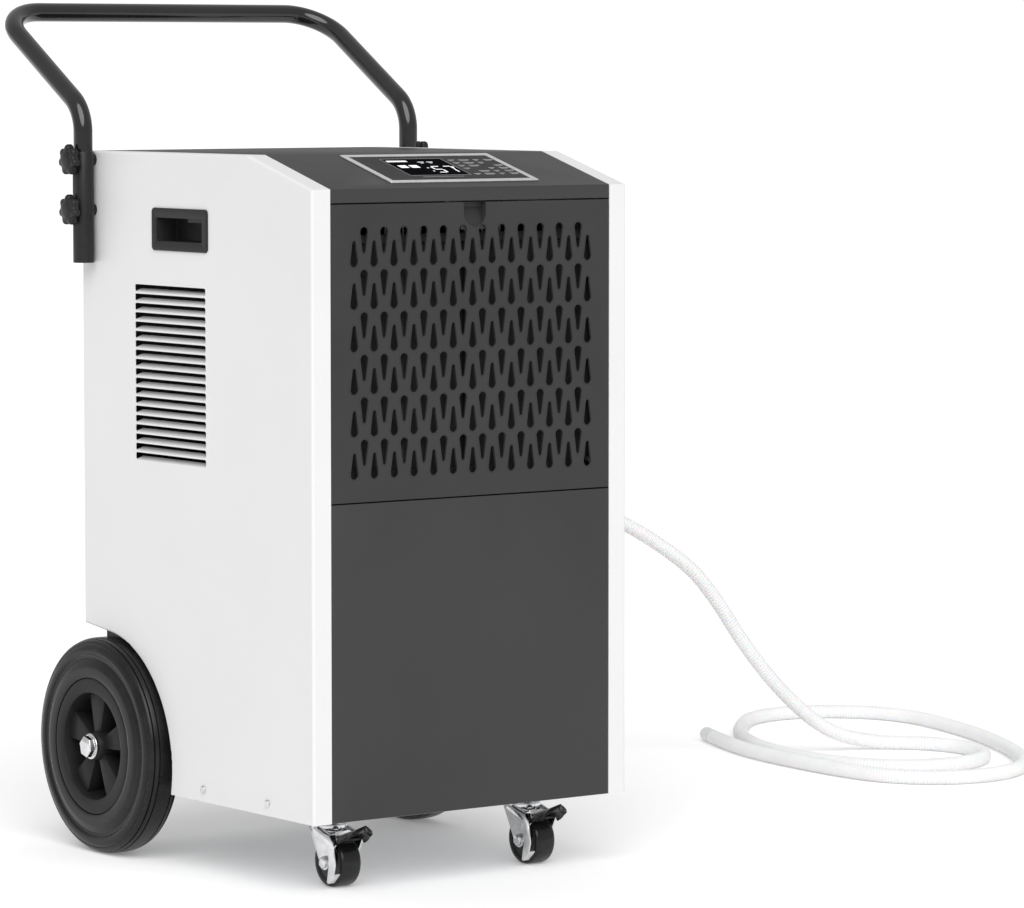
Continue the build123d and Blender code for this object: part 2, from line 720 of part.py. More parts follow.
for side, word in ((-1, "left"), (1, "right")):
    x = side * caster_x
    with BuildPart() as caster_plate:
        with BuildSketch(Plane.XY.offset(plate_under)):
            with Locations((x, kingpin_y)):
                RectangleRounded(60, 50, 4)
                with GridLocations(46, 36, 2, 2):
                    Circle(2.6, mode=Mode.SUBTRACT)
        extrude(amount=2.5)
        with BuildSketch(Plane.XY.offset(race_under)):
            with Locations((x, kingpin_y)):
                Circle(17.5)
        extrude(amount=plate_under - race_under)
        race_edge = caster_plate.edges().filter_by(GeomType.CIRCLE).sort_by(Axis.Z)[0]
        fillet(race_edge, 3)
        with BuildSketch(Plane.XY.offset(crown_under - 4)):
            with Locations((x, kingpin_y)):
                Circle(kingpin_radius)
        extrude(amount=race_under - crown_under + 5)
        with BuildSketch(Plane.XY.offset(crown_under - 4)):
            with Locations((x, kingpin_y)):
                Circle(8)
        extrude(amount=3.5)
    caster_plate.part.label = word + "_caster_plate"
    export_step(caster_plate.part, "parts/" + word + "_caster_plate.step")

    with BuildPart() as fork:
        with BuildSketch(Plane.XY.offset(crown_under)):
            with Locations((x, kingpin_y)):
                Circle(21)
        extrude(amount=crown_top - crown_under)
        fillet(fork.edges().filter_by(GeomType.CIRCLE).sort_by(Axis.Z)[-1], 4)
        for leg in (-1, 1):
            with BuildSketch(Plane.YZ.offset(x + leg * (leg_inside + leg_thick / 2) - leg_thick / 2)):
                with Locations((caster_y, caster_radius)):
                    Circle(8.5)
                with Locations((brake_y, brake_pin[1])):
                    Circle(4.2)
                with Locations((kingpin_y - 6, crown_under + 3)):
                    Circle(3)
                with Locations((kingpin_y + 8, crown_under + 3)):
                    Circle(3)
                make_hull()
            extrude(amount=leg_thick)
        with BuildSketch(Plane.XY.offset(crown_under - 1)):
            with Locations((x, kingpin_y)):
                Circle(kingpin_radius + fit_gap)
        extrude(amount=crown_top, mode=Mode.SUBTRACT)
        bolt_line = [(x - 30, caster_y, caster_radius), (x + 30, caster_y, caster_radius)]
        rod(*bolt_line, caster_axle_radius, mode=Mode.SUBTRACT)
        pin_line = [(x - 30, brake_y, brake_pin[1]), (x + 30, brake_y, brake_pin[1])]
        rod(*pin_line, brake_pin_radius + fit_gap, mode=Mode.SUBTRACT)
    fork.part.label = word + "_caster_fork"
    export_step(fork.part, "parts/" + word + "_caster_fork.step")

    with BuildPart() as caster_wheel:
        with BuildSketch(Plane.YZ.offset(x - caster_half)):
            with Locations((caster_y, caster_radius)):
                Circle(caster_radius)
        extrude(amount=2 * caster_half)
        fillet(caster_wheel.edges(), 3.5)
        with BuildSketch(Plane.YZ.offset(x - leg_inside + 0.4)):
            with Locations((caster_y, caster_radius)):
                Circle(8)
        extrude(amount=2 * leg_inside - 0.8)
        with BuildSketch(Plane.YZ.offset(x - 20)):
            with Locations((caster_y, caster_radius)):
                Circle(caster_axle_radius + fit_gap)
        extrude(amount=40, mode=Mode.SUBTRACT)
    caster_wheel.part.label = word + "_caster_wheel"
    export_step(caster_wheel.part, "parts/" + word + "_caster_wheel.step")

    with BuildPart() as caster_axle:
        reach = leg_inside + leg_thick
        rod((x - reach, caster_y, caster_radius), (x + reach, caster_y, caster_radius), caster_axle_radius)
        for end in (-1, 1):
            with BuildSketch(Plane((x + end * reach, caster_y, caster_radius), z_dir=(end, 0, 0))):
                RegularPolygon(7, 6)
            extrude(amount=3.2)
    caster_axle.part.label = word + "_caster_axle"
    export_step(caster_axle.part, "parts/" + word + "_caster_axle.step")

    tilt = math.radians(pedal_rise)
    pedal_plane = Plane(
        (x, brake_y, brake_pin[1]),
        x_dir=(1, 0, 0),
        z_dir=(0, math.sin(tilt), math.cos(tilt)),
    )
    with BuildPart() as brake_pedal:
        with BuildSketch(pedal_plane.offset(5)):
            with Locations((0, -23)):
                Circle(15)
            with Locations((0, -6)):
                Rectangle(41, 8)
            make_hull()
        extrude(amount=2.6)
        for ear in (-1, 1):
            with BuildSketch(Plane.YZ.offset(x + ear * 19.9 - 1.2)):
                with Locations((brake_y, brake_pin[1])):
                    Circle(5.5)
                with Locations((brake_y - 7, brake_pin[1] + 6)):
                    Circle(2)
                make_hull()
            extrude(amount=2.4)
        rod((x - 21.4, brake_y, brake_pin[1]), (x + 21.4, brake_y, brake_pin[1]), brake_pin_radius)
    brake_pedal.part.label = word + "_brake_pedal"
    export_step(brake_pedal.part, "parts/" + word + "_brake_pedal.step")

    # The lever's plate hangs beside the fork: a hooked tab behind, an arm and a toe in front.
    with BuildPart() as brake_lever:
        with BuildSketch(Plane.YZ.offset(x - lever_inside - 1.6)):
            with BuildLine():
                Polyline(
                    (brake_y + 4, brake_pin[1] - 6),
                    (brake_y + 30, brake_pin[1] + 2),
                    (brake_y + 37, brake_pin[1] + 9),
                    (brake_y + 30, brake_pin[1] + 13),
                    (brake_y + 18, brake_pin[1] + 8),
                    (brake_y + 2, brake_pin[1] + 6),
                    (brake_y - 6, brake_pin[1] - 2),
                    (brake_y - 10, brake_pin[1] - 26),
                    (brake_y - 7, brake_pin[1] - 37),
                    (brake_y + 4, brake_pin[1] - 48.0),
                    (brake_y + 6, brake_pin[1] - 46.0),
                    (brake_y + 2, brake_pin[1] - 26),
                    close=True,
                )
            make_face()
        extrude(amount=1.6)
        with BuildSketch(Plane.YZ.offset(x - lever_inside - 1.6)):
            with BuildLine():
                Polyline(
                    (brake_y - 7, brake_pin[1] - 37),
                    (brake_y + 4, brake_pin[1] - 48.0),
                    (brake_y + 6, brake_pin[1] - 46.0),
                    (brake_y - 5, brake_pin[1] - 34.8),
                    close=True,
                )
            make_face()
        extrude(amount=9.4)
        lever_pin = [(x - lever_inside, brake_y, brake_pin[1]), (x - 21.4, brake_y, brake_pin[1])]
        rod(*lever_pin, brake_pin_radius)
    brake_lever.part.label = word + "_brake_lever"
    export_step(brake_lever.part, "parts/" + word + "_brake_lever.step")

with BuildPart() as caster_screws:
    for side in (-1, 1):
        with BuildSketch(Plane.XY.offset(plate_under)):
            with Locations((side * caster_x, kingpin_y)):
                with GridLocations(46, 36, 2, 2):
                    Circle(4.6)
        extrude(amount=-2.6)
        with BuildSketch(Plane.XY.offset(plate_under)):
            with Locations((side * caster_x, kingpin_y)):
                with GridLocations(46, 36, 2, 2):
                    Circle(2.4)
        extrude(amount=4)
caster_screws.part.label = "caster_screws"
export_step(caster_screws.part, "parts/caster_screws.step")

# ---------------------------------------------------------------- refrigeration works
coil_half = 150.0
coil_foot = 462.0
coil_head = 738.0
evaporator_depths = (48.0, 84.0)
condenser_depths = (94.0, 130.0)

for name, depths in (("evaporator_coil", evaporator_depths), ("condenser_coil", condenser_depths)):
    with BuildPart() as coil:
        with BuildSketch(facing(depths[0])):
            with Locations((0, (coil_foot + coil_head) / 2)):
                with GridLocations(12.0, 1, 25, 1):
                    Rectangle(2, coil_head - coil_foot)
        extrude(amount=-(depths[1] - depths[0]))
        middle_y = front + (depths[0] + depths[1]) / 2
        for row in range(7):
            z = coil_foot + 20 + row * 38
            rod((-coil_half - 11, middle_y, z), (coil_half + 11, middle_y, z), 4.5)
    coil.part.label = name
    export_step(coil.part, "parts/" + name + ".step")

with BuildPart() as drip_tray:
    with BuildSketch(Plane.XY.offset(440)):
        with Locations((0, front + 90)):
            Rectangle(340, 104)
    extrude(amount=16)
    offset(amount=-1.8, openings=drip_tray.faces().sort_by(Axis.Z)[-1])
drip_tray.part.label = "drip_tray"
export_step(drip_tray.part, "parts/drip_tray.step")

fan_y = front + 172.0
fan_z = 600.0
fan_radius = 126.0

with BuildPart() as fan_shroud:
    with BuildSketch(facing(136)):
        with Locations((0, (coil_foot + coil_head) / 2)):
            Rectangle(2 * coil_half + 24, coil_head - coil_foot)
        with Locations((0, fan_z)):
            Circle(fan_radius + 5, mode=Mode.SUBTRACT)
    extrude(amount=-2)
    with BuildSketch(facing(136)):
        with Locations((0, fan_z)):
            Circle(fan_radius + 7)
            Circle(fan_radius + 5, mode=Mode.SUBTRACT)
    extrude(amount=-44)
fan_shroud.part.label = "fan_shroud"
export_step(fan_shroud.part, "parts/fan_shroud.step")

with BuildPart() as fan_motor:
    with BuildSketch(facing(206)):
        with Locations((0, fan_z)):
            Circle(44)
    extrude(amount=-70)
    fillet(fan_motor.edges(), 5)
    rod((0, front + 148, fan_z), (0, front + 210, fan_z), 5.0)
    with BuildSketch(facing(240)):
        with Locations((0, fan_z)):
            Rectangle(300, 16)
    extrude(amount=-3)
fan_motor.part.label = "fan_motor"
export_step(fan_motor.part, "parts/fan_motor.step")

with BuildPart() as fan_impeller:
    with BuildSketch(facing(150)):
        with Locations((0, fan_z)):
            Circle(30)
    extrude(amount=-30)
    for i in range(5):
        around = i * 72.0
        blade_plane = Plane(
            (0, front + 165, fan_z),
            x_dir=(math.cos(math.radians(around)), 0, math.sin(math.radians(around))),
            z_dir=(
                -math.sin(math.radians(around)) * math.cos(math.radians(32)),
                math.sin(math.radians(32)),
                math.cos(math.radians(around)) * math.cos(math.radians(32)),
            ),
        )
        with BuildSketch(blade_plane):
            with Locations((72, 0)):
                Rectangle(96, 40)
        extrude(amount=1.2, both=True)
    with BuildSketch(facing(145)):
        with Locations((0, fan_z)):
            Circle(fan_radius)
    extrude(amount=-40, mode=Mode.INTERSECT)
    with BuildSketch(facing(140)):
        with Locations((0, fan_z)):
            Circle(5.0 + fit_gap)
    extrude(amount=-60, mode=Mode.SUBTRACT)
fan_impeller.part.label = "fan_impeller"
export_step(fan_impeller.part, "parts/fan_impeller.step")

compressor_x = 45.0
compressor_y = front + 215.0
compressor_radius = 68.0
compressor_foot = 108.0
compressor_head = 330.0

with BuildPart() as compressor:
    with BuildSketch(Plane.XY.offset(compressor_foot)):
        with Locations((compressor_x, compressor_y)):
            Circle(compressor_radius)
    extrude(amount=compressor_head - compressor_foot)
    fillet(compressor.edges().filter_by(GeomType.CIRCLE), 30)
    foot_point = (compressor_x, compressor_y, compressor_foot)
    rod(foot_point, (compressor_x, compressor_y, compressor_head - 60), 48.0, mode=Mode.SUBTRACT)
    with BuildSketch(Plane.XY.offset(compressor_foot)):
        with Locations((compressor_x, compressor_y)):
            RectangleRounded(170, 120, 14)
    extrude(amount=4)
    for dx in (-30, 30):
        top_point = (compressor_x + dx, compressor_y, compressor_head + 16)
        rod((compressor_x + dx, compressor_y, compressor_head - 20), top_point, 6.0)
compressor.part.label = "compressor"
export_step(compressor.part, "parts/compressor.step")

with BuildPart() as compressor_grommets:
    with BuildSketch(Plane.XY.offset(bottom + pan_wall)):
        with Locations((compressor_x, compressor_y)):
            with GridLocations(140, 92, 2, 2):
                Circle(11)
    extrude(amount=compressor_foot - bottom - pan_wall)
compressor_grommets.part.label = "compressor_grommets"
export_step(compressor_grommets.part, "parts/compressor_grommets.step")

# Copper lines from the two stubs on the compressor up to the coils' ends.
pipe_radius = 4.5
stub_top = compressor_head + 16
evaporator_y = front + sum(evaporator_depths) / 2
condenser_y = front + sum(condenser_depths) / 2

with BuildPart() as refrigerant_pipes:
    with BuildLine():
        FilletPolyline(
            (compressor_x - 30, compressor_y, stub_top),
            (compressor_x - 30, compressor_y, 395),
            (compressor_x - 30, front + 172, 410),
            (178, front + 172, 410),
            (178, condenser_y, 440),
            (178, condenser_y, coil_foot + 58),
            (coil_half + 11, condenser_y, coil_foot + 58),
            radius=[14, 16, 18, 16, 10],
        )
    with BuildSketch(Plane.XY.offset(stub_top)):
        with Locations((compressor_x - 30, compressor_y)):
            Circle(pipe_radius)
    sweep()
    with BuildLine():
        FilletPolyline(
            (compressor_x + 30, compressor_y, stub_top),
            (compressor_x + 30, compressor_y, 380),
            (compressor_x + 30, front + 232, 392),
            (-178, front + 232, 392),
            (-178, evaporator_y, 425),
            (-178, evaporator_y, coil_foot + 58),
            (-coil_half - 11, evaporator_y, coil_foot + 58),
            radius=[8, 8, 18, 16, 10],
        )
    with BuildSketch(Plane.XY.offset(stub_top)):
        with Locations((compressor_x + 30, compressor_y)):
            Circle(pipe_radius)
    sweep()
refrigerant_pipes.part.label = "refrigerant_pipes"
export_step(refrigerant_pipes.part, "parts/refrigerant_pipes.step")

with BuildPart() as condensate_tank:
    with BuildSketch(Plane.XY.offset(bottom + pan_wall)):
        with Locations((-115, front + 120)):
            RectangleRounded(120, 150, 8)
    extrude(amount=150)
    offset(amount=-2.5, openings=condensate_tank.faces().sort_by(Axis.Z)[-1])
condensate_tank.part.label = "condensate_tank"
export_step(condensate_tank.part, "parts/condensate_tank.step")

with BuildPart() as condensate_pump:
    with BuildSketch(Plane.XY.offset(bottom + pan_wall + 150)):
        with Locations((-115, front + 120)):
            RectangleRounded(120, 150, 8)
    extrude(amount=4)
    with BuildSketch(Plane.XY.offset(bottom + pan_wall + 154)):
        with Locations((-115, front + 120)):
            Circle(30)
    extrude(amount=58)
    fillet(condensate_pump.faces().sort_by(Axis.Z)[-1].edges(), 6)
condensate_pump.part.label = "condensate_pump"
export_step(condensate_pump.part, "parts/condensate_pump.step")

with BuildPart() as control_box:
    with BuildSketch(Plane.XY.offset(750)):
        with Locations((0, front + 300)):
            RectangleRounded(250, 150, 6)
    extrude(amount=52)
control_box.part.label = "control_box"
export_step(control_box.part, "parts/control_box.step")

# ---------------------------------------------------------------- services on the back
barb_radius = 7.0
barb_end = back + 34.0
gland_lip = 5.0

with BuildPart() as drain_outlet:
    with BuildSketch(facing(depth)):
        with Locations((outlet_x, outlet_z)):
            Circle(17)
    extrude(amount=-5)
    with BuildSketch(facing(depth - 14)):
        with Locations((outlet_x, outlet_z)):
            Circle(outlet_radius - fit_gap)
    extrude(amount=-18)
    with BuildSketch(facing(depth + 5)):
        with Locations((outlet_x, outlet_z)):
            Circle(barb_radius)
    extrude(amount=-(barb_end - back - 5))
    with BuildSketch(facing(depth - 15)):
        with Locations((outlet_x, outlet_z)):
            Circle(4.5)
    extrude(amount=-60, mode=Mode.SUBTRACT)
drain_outlet.part.label = "drain_outlet"
export_step(drain_outlet.part, "parts/drain_outlet.step")

with BuildPart() as cable_gland:
    with BuildSketch(facing(depth)):
        with Locations((gland_x, gland_z)):
            RegularPolygon(13, 6)
    extrude(amount=-gland_lip)
    with BuildSketch(facing(depth + gland_lip)):
        with Locations((gland_x, gland_z)):
            Circle(10)
    extrude(amount=-9)
    fillet(cable_gland.faces().sort_by(Axis.Y)[-1].edges(), 3)
    with BuildSketch(facing(depth - 8)):
        with Locations((gland_x, gland_z)):
            Circle(gland_radius - fit_gap)
    extrude(amount=-10)
    with BuildSketch(facing(depth - 9)):
        with Locations((gland_x, gland_z)):
            Circle(4.2)
    extrude(amount=-40, mode=Mode.SUBTRACT)
cable_gland.part.label = "cable_gland"
export_step(cable_gland.part, "parts/cable_gland.step")

# ---------------------------------------------------------------- drain hose
# It leaves the back outlet, swings round to the right, sags to the floor and lies there in
# two loose turns, ending in a short plain cuff.
hose_radius = 9.5
cuff_length = 30.0
hose_points = [
    (130, 507.6, 402),
    (130, 560, 402),
    (149, 615, 400),
    (191, 656, 396),
    (249, 677, 392),
    (329, 684, 386),
    (430, 676, 377),
    (549, 652, 361),
    (668, 621, 331),
    (768, 592, 266),
    (811, 585, 219),
    (855, 578, 153),
    (913, 571, 86),
    (985, 562, 27),
    (1055, 549, hose_radius),
    (1102, 509, hose_radius),
    (1123, 450, hose_radius),
    (1110, 390, hose_radius),
    (1068, 345, hose_radius),
    (1008, 328, hose_radius),
    (948, 344, hose_radius),
    (905, 388, hose_radius),
    (888, 448, hose_radius),
    (886, 512, hose_radius),
    (900, 590, hose_radius),
    (930, 664, hose_radius),
    (972, 730, hose_radius),
    (1023, 787, hose_radius),
    (1078, 836, hose_radius),
    (1143, 850, hose_radius),
    (1206, 830, hose_radius),
    (1250, 781, hose_radius),
    (1266, 717, hose_radius),
    (1256, 649, hose_radius),
    (1230, 556, hose_radius),
    (1192, 460, hose_radius),
    (1147, 370, hose_radius),
    (1095, 292, hose_radius),
    (1034, 244, hose_radius),
    (966, 230, hose_radius),
    (904, 253, hose_radius),
    (864, 305, hose_radius),
    (855, 374, hose_radius),
    (857, 462, hose_radius),
    (866, 556, hose_radius),
    (886, 640, hose_radius),
    (916, 716, hose_radius),
]


def corner_radii(points):
    """The largest even arc at each corner: 0.45 of the shorter run over tan(half the turn)."""
    places = [Vector(*p) for p in points]
    radii = []
    for before, here, after in zip(places, places[1:], places[2:]):
        turn = math.radians((here - before).get_angle(after - here))
        run = min((here - before).length, (after - here).length)
        radii.append(0.45 * run / math.tan(turn / 2))
    return radii


hose_path = [(px, front + py, pz) for px, py, pz in hose_points]
hose_radii = corner_radii(hose_path)
with BuildPart() as drain_hose:
    with BuildLine():
        hose_route = FilletPolyline(*hose_path, radius=hose_radii)
    with BuildSketch(Plane(hose_path[0], z_dir=hose_route % 0)):
        Circle(hose_radius)
    sweep()
drain_hose.part.label = "drain_hose"
export_step(drain_hose.part, "parts/drain_hose.step")
print("hose radii", [round(r) for r in hose_radii], "least", round(min(hose_radii)))
swept_share = drain_hose.part.volume / (math.pi * hose_radius**2 * hose_route.length)
print("hose length", round(hose_route.length), "volume over section times length", round(swept_share, 4))

hose_end = Vector(*hose_path[-1])
hose_way = (hose_end - Vector(*hose_path[-2])).normalized()
with BuildPart() as hose_end_cuff:
    with BuildSketch(Plane(hose_end, z_dir=hose_way)):
        Circle(hose_radius)
    extrude(amount=cuff_length)
    with BuildSketch(Plane(hose_end + hose_way * 6, z_dir=hose_way)):
        Circle(7)
    extrude(amount=cuff_length, mode=Mode.SUBTRACT)
hose_end_cuff.part.label = "hose_end_cuff"
export_step(hose_end_cuff.part, "parts/hose_end_cuff.step")
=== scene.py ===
import math

import bmesh
import bpy
from mathutils import Matrix, Vector


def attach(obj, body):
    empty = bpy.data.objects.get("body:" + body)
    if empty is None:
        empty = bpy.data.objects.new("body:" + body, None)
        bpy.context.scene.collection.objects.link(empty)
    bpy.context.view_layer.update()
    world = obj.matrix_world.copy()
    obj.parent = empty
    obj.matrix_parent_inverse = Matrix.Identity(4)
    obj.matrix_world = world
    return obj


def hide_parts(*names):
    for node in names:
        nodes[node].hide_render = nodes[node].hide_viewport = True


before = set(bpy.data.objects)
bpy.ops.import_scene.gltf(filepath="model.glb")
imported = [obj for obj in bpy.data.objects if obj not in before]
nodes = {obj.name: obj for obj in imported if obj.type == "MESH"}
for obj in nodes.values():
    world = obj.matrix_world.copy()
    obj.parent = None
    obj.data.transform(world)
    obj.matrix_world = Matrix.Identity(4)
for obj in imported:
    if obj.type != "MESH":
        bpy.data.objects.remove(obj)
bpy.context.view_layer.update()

# ---------------------------------------------------------------- camera
# A long lens at the machine's front left, a little above the middle of its height, so that
# the white side, the dark front and the sloped top all show.
camera = bpy.data.objects.new("camera", bpy.data.cameras.new("camera"))
camera.location = (-3.198, -4.738, 0.914)
camera.rotation_euler = (math.radians(85.44), 0.0, math.radians(-36.37))
camera.data.lens = 173.67
camera.data.sensor_width = 36.0
camera.data.clip_end = 200.0
bpy.context.scene.collection.objects.link(camera)
bpy.context.scene.camera = camera

# ---------------------------------------------------------------- drain hose
# A ribbed pipe of milky soft plastic, 19 mm across. It is pushed on the barb in the back,
# sags to the floor on the machine's right and lies there in two loose turns.
hose_radius = 0.0095
hose_valley = 0.0085
hose_points = [
    (0.13, 0.1851, 0.402),
    (0.13, 0.2375, 0.402),
    (0.149, 0.2925, 0.4),
    (0.191, 0.3335, 0.396),
    (0.249, 0.3545, 0.392),
    (0.329, 0.3615, 0.386),
    (0.43, 0.3535, 0.377),
    (0.549, 0.3295, 0.361),
    (0.668, 0.2985, 0.331),
    (0.768, 0.2695, 0.266),
    (0.811, 0.2625, 0.219),
    (0.855, 0.2555, 0.153),
    (0.913, 0.2485, 0.086),
    (0.985, 0.2395, 0.027),
    (1.055, 0.2265, 0.0095),
    (1.102, 0.1865, 0.0095),
    (1.123, 0.1275, 0.0095),
    (1.11, 0.0675, 0.0095),
    (1.068, 0.0225, 0.0095),
    (1.008, 0.0055, 0.0095),
    (0.948, 0.0215, 0.0095),
    (0.905, 0.0655, 0.0095),
    (0.888, 0.1255, 0.0095),
    (0.886, 0.1895, 0.0095),
    (0.9, 0.2675, 0.0095),
    (0.93, 0.3415, 0.0095),
    (0.972, 0.4075, 0.0095),
    (1.023, 0.4645, 0.0095),
    (1.078, 0.5135, 0.0095),
    (1.143, 0.5275, 0.0095),
    (1.206, 0.5075, 0.0095),
    (1.25, 0.4585, 0.0095),
    (1.266, 0.3945, 0.0095),
    (1.256, 0.3265, 0.0095),
    (1.23, 0.2335, 0.0095),
    (1.192, 0.1375, 0.0095),
    (1.147, 0.0475, 0.0095),
    (1.095, -0.0305, 0.0095),
    (1.034, -0.0785, 0.0095),
    (0.966, -0.0925, 0.0095),
    (0.904, -0.0695, 0.0095),
    (0.864, -0.0175, 0.0095),
    (0.855, 0.0515, 0.0095),
    (0.857, 0.1395, 0.0095),
    (0.866, 0.2335, 0.0095),
    (0.886, 0.3175, 0.0095),
    (0.916, 0.3935, 0.0095),
]
front = -0.3225


def grained(name, dark, light, rough, scale, relief=0.0, pebble=900.0, **fixed):
    """A finish whose shade and gloss wander with one soft grain, over a fine pebbled surface."""
    finish = bpy.data.materials.new(name)
    finish.use_nodes = True
    tree = finish.node_tree
    shader = tree.nodes["Principled BSDF"]
    place = tree.nodes.new("ShaderNodeTexCoord")
    cloud = tree.nodes.new("ShaderNodeTexNoise")
    cloud.inputs["Scale"].default_value = scale
    cloud.inputs["Detail"].default_value = 5.0
    cloud.inputs["Roughness"].default_value = 0.55
    tint = tree.nodes.new("ShaderNodeValToRGB")
    tint.color_ramp.elements[0].position = 0.32
    tint.color_ramp.elements[0].color = (*dark, 1.0)
    tint.color_ramp.elements[1].position = 0.68
    tint.color_ramp.elements[1].color = (*light, 1.0)
    gloss = tree.nodes.new("ShaderNodeMapRange")
    gloss.inputs["From Min"].default_value = 0.3
    gloss.inputs["From Max"].default_value = 0.7
    gloss.inputs["To Min"].default_value = rough[0]
    gloss.inputs["To Max"].default_value = rough[1]
    tree.links.new(place.outputs["Object"], cloud.inputs["Vector"])
    tree.links.new(cloud.outputs["Fac"], tint.inputs["Fac"])
    tree.links.new(cloud.outputs["Fac"], gloss.inputs["Value"])
    tree.links.new(tint.outputs["Color"], shader.inputs["Base Color"])
    tree.links.new(gloss.outputs["Result"], shader.inputs["Roughness"])
    if relief:
        skin = tree.nodes.new("ShaderNodeTexNoise")
        skin.inputs["Scale"].default_value = pebble
        skin.inputs["Detail"].default_value = 2.0
        bump = tree.nodes.new("ShaderNodeBump")
        bump.inputs["Distance"].default_value = relief
        bump.inputs["Strength"].default_value = 0.6
        tree.links.new(place.outputs["Object"], skin.inputs["Vector"])
        tree.links.new(skin.outputs["Fac"], bump.inputs["Height"])
        tree.links.new(bump.outputs["Normal"], shader.inputs["Normal"])
    for socket, value in fixed.items():
        shader.inputs[socket.replace("_", " ")].default_value = value
    return finish


def piece(name, shape, finish, body, slot, *stands_for, crease=38.0):
    """Makes a finished shape a piece that rides on a body, in place of those CAD nodes."""
    mesh = bpy.data.meshes.new(name)
    shape.to_mesh(mesh)
    shape.free()
    mesh.shade_smooth()
    mesh.set_sharp_from_angle(angle=math.radians(crease))
    mesh.materials.append(finish)
    made = bpy.data.objects.new(name, mesh)
    bpy.context.scene.collection.objects.link(made)
    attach(made, body)
    if stands_for:
        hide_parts(*stands_for)
    return made


def turned(profile, base, along, steps=64, closed=False):
    """A turned shape: a profile of (distance along, radius) points spun about the line at base."""
    base = Vector(base)
    along = Vector(along).normalized()
    out = along.orthogonal().normalized()
    shape = bmesh.new()
    corners = [shape.verts.new(base + along * far + out * radius) for far, radius in profile]
    edges = [shape.edges.new(pair) for pair in zip(corners, corners[1:])]
    if closed:
        edges.append(shape.edges.new((corners[-1], corners[0])))
    bmesh.ops.spin(
        shape, geom=corners + edges, cent=base, axis=along, angle=math.tau, steps=steps, use_merge=True
    )
    bmesh.ops.remove_doubles(shape, verts=shape.verts, dist=1e-6)
    bmesh.ops.recalc_face_normals(shape, faces=shape.faces)
    return shape


route = bpy.data.curves.new("hose_route", "CURVE")
route.dimensions = "3D"
route_line = route.splines.new("NURBS")
route_line.points.add(len(hose_points) - 1)
for point, place in zip(route_line.points, hose_points):
    point.co = (*place, 1.0)
route_line.order_u = 3
route_line.use_endpoint_u = True
route_line.resolution_u = 16
route_holder = bpy.data.objects.new("hose_route", route)
bpy.context.scene.collection.objects.link(route_holder)
hose_way = [v.co.copy() for v in bpy.data.meshes.new_from_object(route_holder).vertices]
bpy.data.objects.remove(route_holder)

hose_reach = [0.0]
for here, after in zip(hose_way, hose_way[1:]):
    hose_reach.append(hose_reach[-1] + (after - here).length)
hose_length = hose_reach[-1]
ring_count = 4 * round(hose_length / 0.004)
ring_places = []
leg = 0
for i in range(ring_count + 1):
    far = min(i * hose_length / ring_count, hose_length)
    while leg < len(hose_way) - 2 and hose_reach[leg + 1] < far:
        leg += 1
    share = (far - hose_reach[leg]) / (hose_reach[leg + 1] - hose_reach[leg])
    ring_places.append(hose_way[leg].lerp(hose_way[leg + 1], share))
ring_axes = []
sideways = Vector((1.0, 0.0, 0.0))
for i, place in enumerate(ring_places):
    ahead = ring_places[min(i + 6, ring_count)] - ring_places[max(i - 6, 0)]
    ahead.normalize()
    sideways = (sideways - ahead * sideways.dot(ahead)).normalized()
    ring_axes.append((sideways.copy(), ahead.cross(sideways)))

rib_heights = (hose_radius, hose_radius - 0.0001, hose_valley, hose_valley)
hose_shape = bmesh.new()
bmesh.ops.create_grid(hose_shape, x_segments=ring_count, y_segments=20, size=1.0)
for v in hose_shape.verts:
    i = round((v.co.x + 1.0) / 2.0 * ring_count)
    around = (v.co.y + 1.0) * math.pi
    plain_end = i < 16 or i > ring_count - 8
    height = hose_radius - 0.0003 if plain_end else rib_heights[i % 4]
    out, up = ring_axes[i]
    v.co = ring_places[i] + (out * math.cos(around) + up * math.sin(around)) * height
bmesh.ops.remove_doubles(hose_shape, verts=hose_shape.verts, dist=1e-5)
bmesh.ops.holes_fill(hose_shape, edges=[e for e in hose_shape.edges if e.is_boundary], sides=0)
bmesh.ops.recalc_face_normals(hose_shape, faces=hose_shape.faces)
milky = grained(
    "milky_plastic", (0.86, 0.862, 0.862), (0.90, 0.902, 0.902), (0.30, 0.42), 25.0,
    Transmission_Weight=0.12, Subsurface_Weight=0.2, Subsurface_Scale=0.004, IOR=1.45,
)
hose = piece("ribbed_drain_hose", hose_shape, milky, "cabinet", "hose_plastic", "drain_hose", crease=80.0)

# The free end is a short soft grey cuff with a lip, where a longer pipe can be joined.
cuff_way = (hose_way[-1] - hose_way[-2]).normalized()
cuff_profile = [
    (-0.004, 0.0), (-0.004, 0.0090), (-0.001, 0.0094), (0.004, 0.0095), (0.007, 0.0091),
    (0.024, 0.0090), (0.026, 0.0095), (0.0293, 0.0095), (0.030, 0.0090), (0.030, 0.0072),
    (0.0293, 0.0070), (0.008, 0.0070), (0.008, 0.0),
]
cuff_rubber = grained(
    "grey_cuff", (0.66, 0.665, 0.67), (0.74, 0.745, 0.75), (0.42, 0.55), 90.0, 0.00005, 1400.0
)
cuff = piece(
    "hose_cuff", turned(cuff_profile, hose_way[-1], cuff_way, 40), cuff_rubber,
    "cabinet", "cuff_rubber", "hose_end_cuff",
)


# ---------------------------------------------------------------- white side panels
# Each side is one folded steel sheet in smooth white powder coat, with a louvred vent pressed
# and slotted in it. Its flanges wrap round the front, the slope, the top and the back.
def dress(finish, *names):
    """Gives CAD nodes that are shown as they are their finish."""
    for name in names:
        nodes[name].data.materials.clear()
        nodes[name].data.materials.append(finish)


